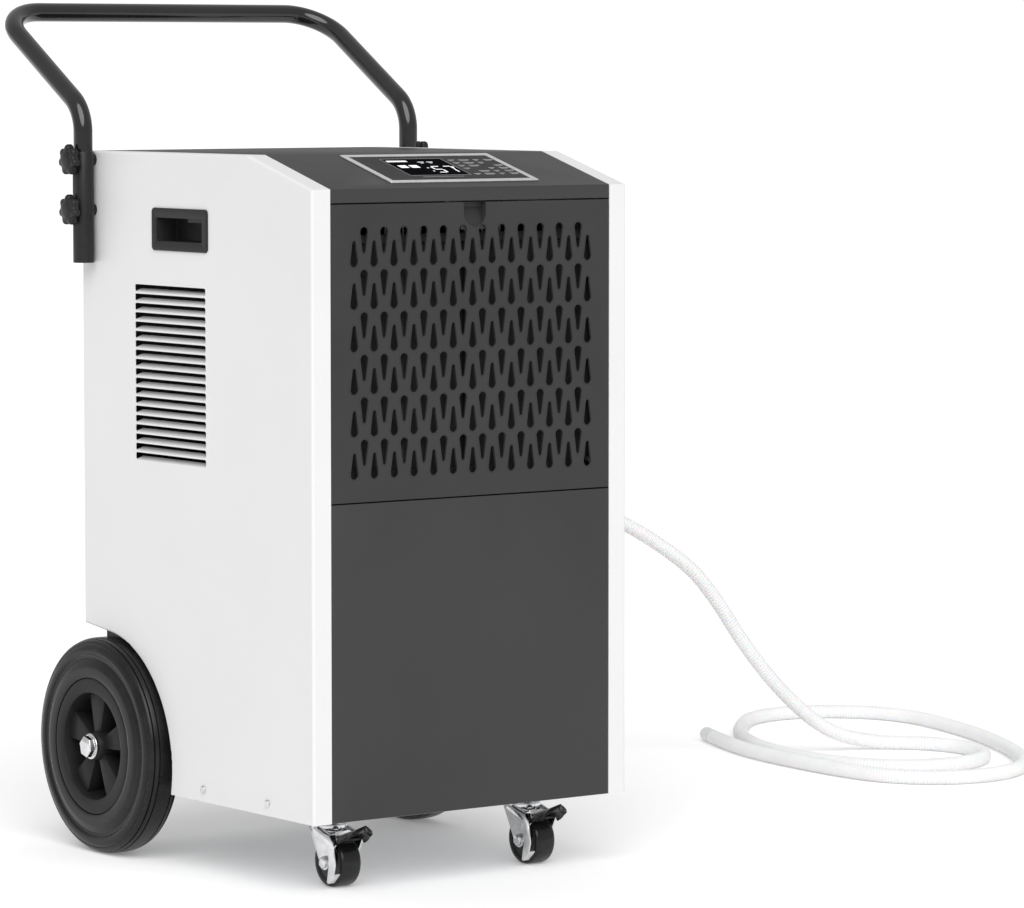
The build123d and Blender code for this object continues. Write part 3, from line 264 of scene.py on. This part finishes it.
def eased(node, width, corner=40.0, segments=2):
    """A merged copy of a CAD node, with its sharp edges rounded over."""
    shape = bmesh.new()
    shape.from_mesh(nodes[node].data)
    bmesh.ops.remove_doubles(shape, verts=shape.verts, dist=2e-6)
    bmesh.ops.dissolve_limit(
        shape, angle_limit=math.radians(0.5), verts=shape.verts, edges=shape.edges
    )
    sharp = [e for e in shape.edges if e.is_manifold and e.calc_face_angle() > math.radians(corner)]
    bmesh.ops.bevel(
        shape, geom=sharp, offset=width, offset_type="OFFSET", segments=segments, profile=0.5,
        affect="EDGES", material=-1, clamp_overlap=True,
    )
    bmesh.ops.remove_doubles(shape, verts=shape.verts, dist=1e-6)
    return shape


white_coat = grained(
    "white_powder_coat", (0.70, 0.70, 0.704), (0.72, 0.72, 0.724), (0.34, 0.42), 6.0, 0.00003, 700.0,
    Specular_IOR_Level=0.25,
)
dress(white_coat, "left_side_panel", "right_side_panel")

# ---------------------------------------------------------------- lifting grips
# A moulded dark cup in each side, with a rounded frame that laps the panel round its hole.
grip_black = grained(
    "grip_moulding", (0.012, 0.012, 0.0124), (0.017, 0.017, 0.0174), (0.34, 0.46), 60.0, 0.00006, 1200.0,
    Specular_IOR_Level=0.25,
)
for side, sign in (("left", -1), ("right", 1)):
    cup = eased(side + "_grip_cup", 0.0007)
    ledge_place = Matrix.Translation((sign * 0.2011, front + 0.231, 0.7355))
    ledge_size = Matrix.Diagonal((0.027, 0.030, 0.005, 1.0))
    bmesh.ops.create_cube(cup, size=1.0, matrix=ledge_place @ ledge_size)
    piece(side + "_lifting_grip", cup, grip_black, "cabinet", "black_moulding", side + "_grip_cup")

# ---------------------------------------------------------------- dark covers
# The lid with its sloped brow, the lower front and the back are folded sheets in a fine dark
# grey powder coat. The pan under them is plain galvanised steel.
grey_coat = grained(
    "grey_powder_coat", (0.039, 0.0392, 0.040), (0.045, 0.0452, 0.046), (0.42, 0.52), 5.0, 0.00004, 900.0,
    Specular_IOR_Level=0.2,
)
for name, node in (("lid", "top_cover"), ("lower_front", "lower_front_panel")):
    piece(name, eased(node, 0.0006), grey_coat, "cabinet", "grey_sheet", node)
dress(grey_coat, "back_panel", "wheel_wells")

galvanised = grained(
    "galvanised_steel", (0.36, 0.37, 0.38), (0.56, 0.57, 0.58), (0.32, 0.55), 55.0, 0.00003, 400.0,
    Metallic=0.9,
)
dress(galvanised, "base_pan", "axle_brackets", "rear_axle", "door_hinge_pins")

# ---------------------------------------------------------------- intake grille
# A moulded door with rows of teardrop holes, each with a thin raised lip, and a finger notch
# at its top edge. It tips forward to reach the filter clipped in its back.
door_grey = grained(
    "door_plastic", (0.036, 0.0362, 0.037), (0.042, 0.0422, 0.043), (0.38, 0.48), 8.0, 0.00004, 1100.0,
    Specular_IOR_Level=0.15,
)
dress(door_grey, "front_grille")
drop_big = 0.0052
drop_small = 0.0022
drop_half = 0.0143
drop_reach = 2 * drop_half - drop_big - drop_small
drop_lean = math.asin((drop_big - drop_small) / drop_reach)
lip_section = [
    (-0.00008, -0.0004), (-0.00002, 0.00035), (0.0003, 0.00065), (0.0008, 0.0005), (0.0012, -0.0001)
]


def drop_line(shape, grow, lift):
    """A closed teardrop line, round end up, grown outwards and lifted off the door's face."""
    points = []
    for i in range(14):
        turn = -drop_lean + (math.pi + 2 * drop_lean) * i / 13
        points.append((math.cos(turn), math.sin(turn), drop_big + grow, drop_half - drop_big))
    for i in range(8):
        turn = math.pi + drop_lean + (math.pi - 2 * drop_lean) * i / 7
        points.append((math.cos(turn), math.sin(turn), drop_small + grow, drop_small - drop_half))
    corners = [
        shape.verts.new((c * radius, front - lift, level + s * radius)) for c, s, radius, level in points
    ]
    return [shape.edges.new(pair) for pair in zip(corners, corners[1:] + corners[:1])]


lips = bmesh.new()
loops = [drop_line(lips, grow, lift) for grow, lift in lip_section]
for inner, outer in zip(loops, loops[1:]):
    bmesh.ops.bridge_loops(lips, edges=inner + outer)
master = list(lips.verts) + list(lips.edges) + list(lips.faces)
for columns, top_level, flip in ((12, 0.7189, False), (13, 0.7042, True)):
    for row in range(6):
        for column in range(columns):
            copy = bmesh.ops.duplicate(lips, geom=master)["geom"]
            verts = [g for g in copy if isinstance(g, bmesh.types.BMVert)]
            if flip:
                bmesh.ops.rotate(lips, verts=verts, cent=(0, front, 0), matrix=Matrix.Rotation(math.pi, 3, "Y"))
            move = ((column - (columns - 1) / 2) * 0.0265, 0.0, top_level - row * 0.0463)
            bmesh.ops.translate(lips, verts=verts, vec=move)
bmesh.ops.delete(lips, geom=[g for g in master if isinstance(g, bmesh.types.BMVert)], context="VERTS")
bmesh.ops.recalc_face_normals(lips, faces=lips.faces)
piece("grille_hole_lips", lips, door_grey, "grille_door", "grey_grille")

# The finger notch is lined with a thin near-black sheet that follows its slope. It is painted shade standing
# for the shadow in the recess, not a moulded part.
notch_x = 0.0030
notch_foot = 0.7310
notch_head = 0.7581
notch_half = 0.0146
notch_rise = 0.010 / (notch_head - notch_foot - 0.005)
notch_shade_sheet = bmesh.new()
bmesh.ops.create_circle(notch_shade_sheet, cap_ends=True, segments=48, radius=notch_half)
for v in notch_shade_sheet.verts:
    across = v.co.x
    level = v.co.y + notch_foot + 0.0152 if v.co.y < 0.001 else notch_head - 0.0012
    depth = (level - notch_foot + 0.001) * notch_rise - 0.001
    v.co = Vector((notch_x + across, front + depth - 0.0003, level))
bmesh.ops.solidify(notch_shade_sheet, geom=list(notch_shade_sheet.faces), thickness=0.0005)
bmesh.ops.recalc_face_normals(notch_shade_sheet, faces=notch_shade_sheet.faces)
# Near-black colour of the notch sheet: painted shade for the recess.
notch_shade_black = grained(
    "painted_notch_shade", (0.006, 0.006, 0.0062), (0.010, 0.010, 0.0103), (0.5, 0.62), 80.0, 0.00004, 1300.0
)
piece("finger_notch_painted_shade", notch_shade_sheet, notch_shade_black, "grille_door", "black_moulding")

filter_black = grained(
    "filter_frame_plastic", (0.012, 0.012, 0.013), (0.02, 0.02, 0.021), (0.5, 0.62), 40.0, 0.00005
)
dress(filter_black, "filter_frame")

# The filter is a fine nylon net, a plain weave of about a thread a millimetre.
net = grained("filter_net", (0.010, 0.010, 0.011), (0.018, 0.018, 0.019), (0.6, 0.75), 30.0)
net_tree = net.node_tree
net_place = next(n for n in net_tree.nodes if n.type == "TEX_COORD")
net_bump = net_tree.nodes.new("ShaderNodeBump")
net_bump.inputs["Distance"].default_value = 0.0004
threads = []
for direction in ("X", "Z"):
    thread = net_tree.nodes.new("ShaderNodeTexWave")
    thread.bands_direction = direction
    thread.inputs["Scale"].default_value = 300.0
    thread.inputs["Distortion"].default_value = 0.3
    net_tree.links.new(net_place.outputs["Object"], thread.inputs["Vector"])
    threads.append(thread)
weave = net_tree.nodes.new("ShaderNodeMath")
weave.operation = "MAXIMUM"
net_tree.links.new(threads[0].outputs["Fac"], weave.inputs[0])
net_tree.links.new(threads[1].outputs["Fac"], weave.inputs[1])
net_tree.links.new(weave.outputs["Value"], net_bump.inputs["Height"])
net_tree.links.new(net_bump.outputs["Normal"], net_tree.nodes["Principled BSDF"].inputs["Normal"])
dress(net, "filter_mesh")

# ---------------------------------------------------------------- control panel
# A printed touch sheet in a satin silver frame lies on the slope. Its black window shows a
# two-figure reading and a few lit bars; the sheet's own print is short pale strokes.
slope_angle = math.atan2(0.810 - 0.7746, 0.1265)
slope = Matrix.Translation((0.0, front, 0.7746)) @ Matrix.Rotation(slope_angle, 4, "X")
silver = grained(
    "satin_silver", (0.66, 0.665, 0.67), (0.76, 0.765, 0.77), (0.30, 0.40), 120.0, 0.00002, 1500.0,
    Metallic=0.75,
)
piece("panel_frame", eased("control_bezel", 0.0005), silver, "cabinet", "silver_trim", "control_bezel")
touch_grey = grained(
    "touch_sheet", (0.016, 0.016, 0.017), (0.022, 0.022, 0.023), (0.32, 0.40), 25.0, 0.00002, 1600.0,
    Specular_IOR_Level=0.05,
)
dress(touch_grey, "control_overlay")
window_black = grained(
    "display_glass", (0.004, 0.004, 0.005), (0.006, 0.006, 0.007), (0.10, 0.16), 10.0,
    Specular_IOR_Level=0.0,
)
dress(window_black, "display_window")


def strokes(marks, lift, thick=0.00012):
    """Thin printed or lit bars on the slope, each (across, up the slope, width, height, lean), in mm."""
    shape = bmesh.new()
    for across, up, width, height, lean in marks:
        shear = Matrix.Identity(4)
        shear[0][1] = lean
        bar = Matrix.Diagonal((width / 1000, height / 1000, thick, 1.0))
        where = Matrix.Translation((across / 1000, up / 1000, lift))
        bmesh.ops.create_cube(shape, size=1.0, matrix=slope @ where @ shear @ bar)
    return shape


segments = {
    "top": (0, 11, 9, 2.2), "middle": (0, 0, 9, 2.2), "bottom": (0, -11, 9, 2.2),
    "up_left": (-5.4, 5.5, 2.2, 9), "up_right": (5.4, 5.5, 2.2, 9),
    "low_left": (-5.4, -5.5, 2.2, 9), "low_right": (5.4, -5.5, 2.2, 9),
}
figures = {
    5: ("top", "up_left", "middle", "low_right", "bottom"),
    7: ("top", "up_right", "low_right"),
}
lit = [
    (-38, 96, 27, 5.0, 0), (-42, 76, 11, 9.5, 0), (-27, 76, 11, 9.5, 0),
    (-8, 92, 8, 1.6, 0), (-8, 88.5, 4, 1.4, 0), (4, 92, 8, 1.6, 0), (4, 88.5, 4, 1.4, 0),
    (-12.5, 70, 2.2, 2.2, 0), (-12.5, 58, 2.2, 2.2, 0), (22.5, 72, 3, 3, 0),
]
for figure, across in ((5, -1.5), (7, 14.5)):
    for word in figures[figure]:
        dx, dv, width, height = segments[word]
        lit.append((across + dx + 0.12 * dv, 64 + dv, width, height, 0.0))
glow = grained("lit_bars", (0.82, 0.83, 0.84), (0.88, 0.89, 0.90), (0.3, 0.4), 50.0)
glow.node_tree.nodes["Principled BSDF"].inputs["Emission Color"].default_value = (1.0, 1.0, 1.0, 1.0)
glow.node_tree.nodes["Principled BSDF"].inputs["Emission Strength"].default_value = 0.35
piece("display_reading", strokes(lit, 0.00114), glow, "cabinet", "display")

print_marks = [(-14, 36.5, 56, 0.7, 0)]
for row in range(6):
    level = 98 - row * 10.5
    for column, width in ((0, 9), (1, 15), (2, 8), (3, 13)):
        if (row + column) % 5 == 4:
            continue
        print_marks.append((38 + column * 17, level, width, 1.7, 0))
        print_marks.append((38 + column * 17 - 1.5, level - 3.4, width - 4, 1.2, 0))
print_marks += [
    (-14, 105, 82, 0.5, 0), (-14, 42, 82, 0.5, 0), (-55, 73.5, 0.5, 63, 0), (27, 73.5, 0.5, 63, 0)
]
pale_print = grained("pale_print", (0.34, 0.34, 0.345), (0.42, 0.42, 0.425), (0.4, 0.5), 60.0)
piece("panel_print", strokes(print_marks, 0.00124, 0.0001), pale_print, "cabinet", "touch_sheet")

# ---------------------------------------------------------------- push handle
# One steel tube in gloss black, bent back and over in a loop. Its ends stand in two matt
# sleeves, and a star knob with a threaded stud clamps each sleeve at two levels.
handle_x = 0.228
handle_y = front + 0.447
handle_radius = 0.011
lean = math.atan2(0.187, 0.1135)
lean_bend = 0.046
corner_bend = 0.054
bend_start = 0.8567 - lean_bend * math.tan(lean / 2)
lean_way = Vector((0.0, math.sin(lean), math.cos(lean)))
lean_run = math.hypot(0.187, 0.1135) - lean_bend * math.tan(lean / 2) - corner_bend
corner_axis = lean_way.cross(Vector((1.0, 0.0, 0.0)))

tube = bmesh.new()
ring = bmesh.ops.create_circle(
    tube, segments=40, radius=handle_radius, matrix=Matrix.Translation((-handle_x, handle_y, 0.697))
)["verts"]
here = Vector((-handle_x, handle_y, 0.697))


def run(far):
    """Draws the tube's open end straight on."""
    global ring, here
    edges = [e for e in tube.edges if e.is_boundary or not e.link_faces]
    edges = [e for e in edges if all(v in ring for v in e.verts)]
    made = bmesh.ops.extrude_edge_only(tube, edges=edges)["geom"]
    ring = [g for g in made if isinstance(g, bmesh.types.BMVert)]
    bmesh.ops.translate(tube, verts=ring, vec=far)
    here = here + Vector(far)


def bend(centre, axis, angle, steps=14):
    """Draws the tube's open end round a bend."""
    global ring, here
    edges = [e for e in tube.edges if all(v in ring for v in e.verts)]
    made = bmesh.ops.spin(tube, geom=list(ring) + edges, cent=centre, axis=axis, angle=angle, steps=steps)
    ring = [g for g in made["geom_last"] if isinstance(g, bmesh.types.BMVert)]
    here = Vector(centre) + Matrix.Rotation(angle, 3, axis) @ (here - Vector(centre))


run((0.0, 0.0, bend_start - here.z))
bend(here + Vector((0.0, lean_bend, 0.0)), (-1.0, 0.0, 0.0), lean)
run(lean_way * lean_run)
bend(here + Vector((corner_bend, 0.0, 0.0)), corner_axis, math.pi / 2)
run((2 * (handle_x - corner_bend), 0.0, 0.0))
bend(here - lean_way * corner_bend, corner_axis, math.pi / 2)
run(-lean_way * lean_run)
bend(Vector((handle_x, handle_y + lean_bend, bend_start)), (1.0, 0.0, 0.0), lean)
run((0.0, 0.0, 0.697 - here.z))
bmesh.ops.remove_doubles(tube, verts=tube.verts, dist=1e-6)
bmesh.ops.holes_fill(tube, edges=[e for e in tube.edges if e.is_boundary], sides=0)
bmesh.ops.recalc_face_normals(tube, faces=tube.faces)
gloss_black = grained(
    "gloss_black_enamel", (0.006, 0.006, 0.0065), (0.010, 0.010, 0.0105), (0.12, 0.20), 9.0, 0.00002, 300.0,
    Specular_IOR_Level=0.4, Coat_Weight=0.4, Coat_Roughness=0.06,
)
piece("push_handle", tube, gloss_black, "cabinet", "black_tube", "handle_tube")

def join(shape, *extras):
    """Adds other shapes to one shape, each as a closed part of its own."""
    for extra in extras:
        part = bpy.data.meshes.new("part")
        extra.to_mesh(part)
        extra.free()
        shape.from_mesh(part)
        bpy.data.meshes.remove(part)


matt_black = grained(
    "matt_black_moulding", (0.009, 0.009, 0.0093), (0.014, 0.014, 0.0145), (0.30, 0.42), 50.0, 0.00006, 1100.0,
    Specular_IOR_Level=0.3,
)
knob_lobes = 7
for side, sign in (("left", -1), ("right", 1)):
    piece(
        side + "_clamp_sleeve", eased(side + "_handle_sleeve", 0.0006), matt_black, "cabinet",
        "black_moulding", side + "_handle_sleeve",
    )
    for level, height in (("upper", 0.800), ("lower", 0.7426)):
        knob = bmesh.new()
        seat = Vector((sign * 0.2408, handle_y, height))
        bmesh.ops.create_circle(knob, cap_ends=True, segments=98, radius=1.0)
        for v in knob.verts:
            turn = math.atan2(v.co.y, v.co.x)
            gap = abs((turn * knob_lobes / math.tau) % 1.0 - 0.5) * 2.0
            off = (1.0 - gap) * math.pi / knob_lobes
            chord = 0.0128 * math.sin(off)
            lobe = 0.0128 * math.cos(off) + math.sqrt(max(0.0042**2 - chord**2, 0.0))
            v.co = v.co * max(lobe, 0.0136)
        cap = list(knob.faces)
        for rise, grow in (
            (0.0006, 1.04), (0.0010, 1.02), (0.0036, 1.0), (0.0014, 0.98), (0.0012, 0.94), (0.0008, 0.86)
        ):
            made = bmesh.ops.extrude_face_region(knob, geom=cap)["geom"]
            bmesh.ops.delete(knob, geom=cap, context="FACES_ONLY")
            cap = [g for g in made if isinstance(g, bmesh.types.BMFace)]
            rim_verts = [g for g in made if isinstance(g, bmesh.types.BMVert)]
            bmesh.ops.translate(knob, verts=rim_verts, vec=(0, 0, rise))
            bmesh.ops.scale(knob, verts=rim_verts, vec=(grow, grow, 1.0))
        bmesh.ops.holes_fill(knob, edges=[e for e in knob.edges if e.is_boundary], sides=0)
        face_way = Matrix.Rotation(sign * math.pi / 2, 4, "Y")
        place = Matrix.Translation(seat + Vector((sign * 0.0022, 0, 0)))
        bmesh.ops.transform(knob, matrix=place @ face_way, verts=knob.verts)
        neck = turned(
            [(-0.0010, 0.0), (-0.0010, 0.0096), (0.0, 0.0100), (0.0024, 0.0100), (0.0024, 0.0)],
            seat, (sign, 0, 0), 40,
        )
        boss = turned(
            [(0.0096, 0.0), (0.0096, 0.0104), (0.0112, 0.0098), (0.0121, 0.0080), (0.0126, 0.0052),
             (0.0128, 0.0024), (0.0128, 0.0)],
            seat, (sign, 0, 0), 40,
        )
        stud = turned(
            [(-0.020, 0.0), (-0.020, 0.004), (-0.0005, 0.004), (-0.0005, 0.0)], seat, (sign, 0, 0), 24
        )
        join(knob, neck, boss, stud)
        bmesh.ops.recalc_face_normals(knob, faces=knob.faces)
        piece(
            side + "_" + level + "_star_knob", knob, matt_black, side + "_" + level + "_knob_turn",
            "black_moulding", side + "_" + level + "_knob",
        )

# ---------------------------------------------------------------- rear wheels
# Solid rubber tyres with a stepped shiny sidewall and two grooves near each edge of the tread,
# on black moulded rims with a broad flat ring, deep windows and five wedge-shaped spokes.
wheel_y = front + 0.424
tyre_side = [
    (0.0244, 0.0794), (0.0248, 0.0806), (0.0250, 0.0840), (0.0250, 0.0900), (0.0247, 0.0928), (0.0238, 0.0952),
    (0.0227, 0.0985), (0.0221, 0.1002), (0.0214, 0.1010), (0.0208, 0.1018), (0.0207, 0.1042), (0.0213, 0.1054),
    (0.0225, 0.1066), (0.0229, 0.1088), (0.0228, 0.1112), (0.0221, 0.1142), (0.0212, 0.1164), (0.0203, 0.1172),
    (0.0206, 0.1182), (0.0198, 0.1200), (0.0184, 0.1215), (0.0168, 0.1226), (0.0162, 0.1227), (0.0158, 0.1212),
    (0.0149, 0.1212), (0.0146, 0.1233), (0.0130, 0.1240), (0.0104, 0.1246), (0.0101, 0.1228), (0.0092, 0.1228),
    (0.0089, 0.1248), (0.0050, 0.1250),
]
tyre_profile = tyre_side + [(-far, radius) for far, radius in reversed(tyre_side)]
tyre_rubber = grained(
    "tyre_rubber", (0.007, 0.007, 0.0073), (0.012, 0.012, 0.0123), (0.22, 0.32), 30.0, 0.00003, 700.0,
    Specular_IOR_Level=0.25,
)
rim_plastic = grained(
    "rim_plastic", (0.015, 0.0152, 0.0157), (0.020, 0.0203, 0.021), (0.34, 0.44), 40.0, 0.00005, 1000.0,
    Specular_IOR_Level=0.12,
)
rim_ring = [
    (-0.0242, 0.0640), (-0.0242, 0.0780), (-0.0236, 0.0789), (0.0230, 0.0789), (0.0240, 0.0782),
    (0.0242, 0.0776), (0.0244, 0.0770), (0.0245, 0.0750), (0.0245, 0.0642), (0.0238, 0.0622), (0.0222, 0.0614),
    (0.0100, 0.0606), (-0.0040, 0.0604), (-0.0220, 0.0610), (-0.0236, 0.0618),
]
rim_hub = [
    (-0.0236, 0.0101), (-0.0236, 0.0130), (-0.0150, 0.0165), (0.0060, 0.0175), (0.0150, 0.0172),
    (0.0205, 0.0160),
    (0.0228, 0.0148), (0.0236, 0.0134), (0.0236, 0.0101),
]
rim_web = [(-0.0140, 0.0160), (-0.0100, 0.0160), (-0.0100, 0.0612), (-0.0140, 0.0612)]
bright_plate = grained(
    "bright_zinc", (0.62, 0.62, 0.63), (0.80, 0.80, 0.81), (0.10, 0.22), 90.0, 0.00001, 900.0, Metallic=1.0
)
for side, sign in (("left", -1), ("right", 1)):
    middle = Vector((sign * 0.2120, wheel_y, 0.125))
    out = (sign, 0.0, 0.0)
    piece(
        side + "_rubber_tyre", turned(tyre_profile, middle, out, 160, closed=True), tyre_rubber,
        side + "_wheel", "tyre_rubber", side + "_tyre", crease=30.0,
    )
    rim = turned(rim_ring, middle, out, 120, closed=True)
    join(rim, turned(rim_hub, middle, out, 64, closed=True), turned(rim_web, middle, out, 96, closed=True))
    for i in range(5):
        spoke = bmesh.new()
        bmesh.ops.create_cube(spoke, size=1.0)
        for v in spoke.verts:
            outer = v.co.z > 0
            half = 0.0178 if outer else 0.0062
            if v.co.x < 0:
                half *= 0.8
            depth = 0.0165 if v.co.x > 0 else -0.0115
            v.co = Vector((depth, math.copysign(half, v.co.y), 0.0622 if outer else 0.0145))
        bmesh.ops.bevel(
            spoke, geom=list(spoke.edges), offset=0.0009, segments=2, profile=0.5, affect="EDGES", material=-1
        )
        turn = Matrix.Rotation(math.tau * (i + 0.02) / 5, 4, "X")
        outward = Matrix.Diagonal((sign, 1, 1, 1))
        bmesh.ops.transform(
            spoke, matrix=Matrix.Translation(middle) @ turn @ outward, verts=spoke.verts
        )
        bmesh.ops.recalc_face_normals(spoke, faces=spoke.faces)
        join(rim, spoke)
    piece(side + "_moulded_rim", rim, rim_plastic, side + "_wheel", "rim_plastic", side + "_rim")
piece("axle_end_bolts", eased("axle_bolts", 0.0009), bright_plate, "cabinet", "plated", "axle_bolts")

# ---------------------------------------------------------------- front casters
# Zinc-plated swivel casters with hard black wheels. Each has a foot brake: a dished black
# pedal in front and a plated lever beside the fork, which rock together on one pin.
caster_black = grained(
    "caster_tread", (0.007, 0.007, 0.0073), (0.011, 0.011, 0.0113), (0.20, 0.32), 60.0, 0.00003, 900.0,
    Specular_IOR_Level=0.3,
)
caster_profile = [
    (-0.0155, 0.0042), (-0.0155, 0.0078), (-0.0126, 0.0084), (-0.0118, 0.0150), (-0.0118, 0.0196),
    (-0.0132, 0.0212),
    (-0.0135, 0.0240), (-0.0128, 0.0264), (-0.0114, 0.0275), (-0.0094, 0.0280),
]
caster_profile += [(-far, radius) for far, radius in reversed(caster_profile)]
for side, sign in (("left", -1), ("right", 1)):
    wheel_middle = Vector((sign * 0.134, front + 0.071, 0.028))
    piece(
        side + "_caster_tread", turned(caster_profile, wheel_middle, (1, 0, 0), 96, closed=True), caster_black,
        side + "_caster_roll", "black_moulding", side + "_caster_wheel",
    )
    for name, node, body, width in (
        ("_swivel_plate", "_caster_plate", "cabinet", 0.0005),
        ("_swivel_fork", "_caster_fork", side + "_swivel", 0.0006),
        ("_wheel_bolt", "_caster_axle", side + "_swivel", 0.0005),
        ("_lever", "_brake_lever", side + "_brake", 0.0003),
    ):
        piece(side + name, eased(side + node, width), bright_plate, body, "plated", side + node)
    pedal = bmesh.new()
    bmesh.ops.create_grid(pedal, x_segments=16, y_segments=16, size=1.0)
    for v in pedal.verts:
        share = (v.co.y + 1.0) / 2.0
        back_to_tip = 0.0385 * share
        if back_to_tip < 0.0215:
            half = 0.0205 - 0.0055 * (back_to_tip / 0.0215) ** 2
        else:
            half = math.sqrt(max(0.0172**2 - (back_to_tip - 0.0215) ** 2, 0.0)) * 0.0150 / 0.0172
        half = max(half, 0.0015)
        across = v.co.x
        skirt = 0.0110 * across * across * (1.0 - 0.55 * share)
        rise = 0.0072 + 0.0022 * share**2 - skirt
        v.co = Vector((across * half, -0.0010 - back_to_tip, rise))
    bmesh.ops.solidify(pedal, geom=list(pedal.faces), thickness=0.0024)
    bmesh.ops.recalc_face_normals(pedal, faces=pedal.faces)
    for ear in (-1, 1):
        ear_plate = bmesh.ops.create_cube(pedal, size=1.0)["verts"]
        for v in ear_plate:
            v.co = Vector(
                (ear * 0.0199 + v.co.x * 0.0022, -0.0005 + v.co.y * 0.0085, 0.0020 + v.co.z * 0.0085)
            )
    tilt = Matrix.Rotation(math.radians(-16.0), 4, "X")
    brake_pin = Vector((sign * 0.134, front + 0.0515, 0.0545))
    bmesh.ops.transform(pedal, matrix=Matrix.Translation(brake_pin) @ tilt, verts=pedal.verts)
    pin = turned(
        [(-0.0214, 0.0), (-0.0214, 0.0025), (0.0214, 0.0025), (0.0214, 0.0)], brake_pin, (1, 0, 0), 24
    )
    join(pedal, pin)
    piece(side + "_foot_pedal", pedal, caster_black, side + "_brake", "black_moulding", side + "_brake_pedal")
for name, node in (("lower_case_screws", "case_screws"), ("caster_fixings", "caster_screws")):
    piece(name, eased(node, 0.0005), bright_plate, "cabinet", "plated", node)

# ---------------------------------------------------------------- works inside
# Finned coils, fan, compressor, copper lines, tank and pump, which show a little through the
# grille, the louvres and the back vents.
fins = grained("coil_fins", (0.42, 0.43, 0.44), (0.55, 0.56, 0.57), (0.35, 0.5), 120.0, Metallic=1.0)
dress(fins, "evaporator_coil", "condenser_coil")
copper = grained("copper", (0.55, 0.25, 0.14), (0.68, 0.34, 0.20), (0.22, 0.4), 45.0, Metallic=1.0)
dress(copper, "refrigerant_pipes")
dress(matt_black, "fan_motor", "compressor", "fan_impeller", "compressor_grommets")
tray_grey = grained("tray_plastic", (0.10, 0.10, 0.105), (0.14, 0.14, 0.145), (0.4, 0.55), 30.0, 0.00004)
dress(tray_grey, "drip_tray", "condensate_tank", "condensate_pump", "control_box")
dress(galvanised, "fan_shroud")

# ---------------------------------------------------------------- services on the back
# A moulded drain outlet with a barb for the hose, and a cable gland for the mains lead.
outlet_grey = grained("outlet_plastic", (0.48, 0.485, 0.49), (0.58, 0.585, 0.59), (0.3, 0.42), 70.0, 0.00003)
piece("hose_outlet", eased("drain_outlet", 0.0006), outlet_grey, "cabinet", "outlet_plastic", "drain_outlet")
piece("mains_gland", eased("cable_gland", 0.0006), matt_black, "cabinet", "black_moulding", "cable_gland")

# ---------------------------------------------------------------- floor and light
# A wide pale floor under an even white sky, with one broad soft light at the front left.
floor_shape = bmesh.new()
bmesh.ops.create_grid(floor_shape, x_segments=1, y_segments=1, size=60.0)
floor_mesh = bpy.data.meshes.new("floor")
floor_shape.to_mesh(floor_mesh)
floor_shape.free()
floor = bpy.data.objects.new("floor", floor_mesh)
pale_floor = grained(
    "floor", (0.86, 0.86, 0.865), (0.88, 0.88, 0.885), (0.7, 0.8), 0.6,
    Specular_IOR_Level=0.0, Emission_Color=(1.0, 1.0, 1.0, 1.0), Emission_Strength=0.20,
)
floor_mesh.materials.append(pale_floor)
bpy.context.scene.collection.objects.link(floor)

world = bpy.data.worlds.new("sky")
world.use_nodes = True
sky_tree = world.node_tree
sky = sky_tree.nodes["Background"]
sky.inputs["Color"].default_value = (1.0, 1.0, 1.0, 1.0)
sky_path = sky_tree.nodes.new("ShaderNodeLightPath")
sky_level = sky_tree.nodes.new("ShaderNodeMath")
sky_level.operation = "MULTIPLY_ADD"
sky_light = 0.60
sky_seen = 1.05
sky_level.inputs[1].default_value = sky_seen - sky_light
sky_level.inputs[2].default_value = sky_light
sky_tree.links.new(sky_path.outputs["Is Camera Ray"], sky_level.inputs[0])
sky_tree.links.new(sky_level.outputs["Value"], sky.inputs["Strength"])
bpy.context.scene.world = world
bpy.context.scene.view_settings.view_transform = "Standard"
sun = bpy.data.lights.new("key_light", "SUN")
sun.energy = 2.2
sun.angle = math.radians(50.0)
sun_holder = bpy.data.objects.new("key_light", sun)
sun_holder.rotation_euler = Vector((-0.42, -0.66, 0.62)).to_track_quat("Z", "Y").to_euler()
bpy.context.scene.collection.objects.link(sun_holder)
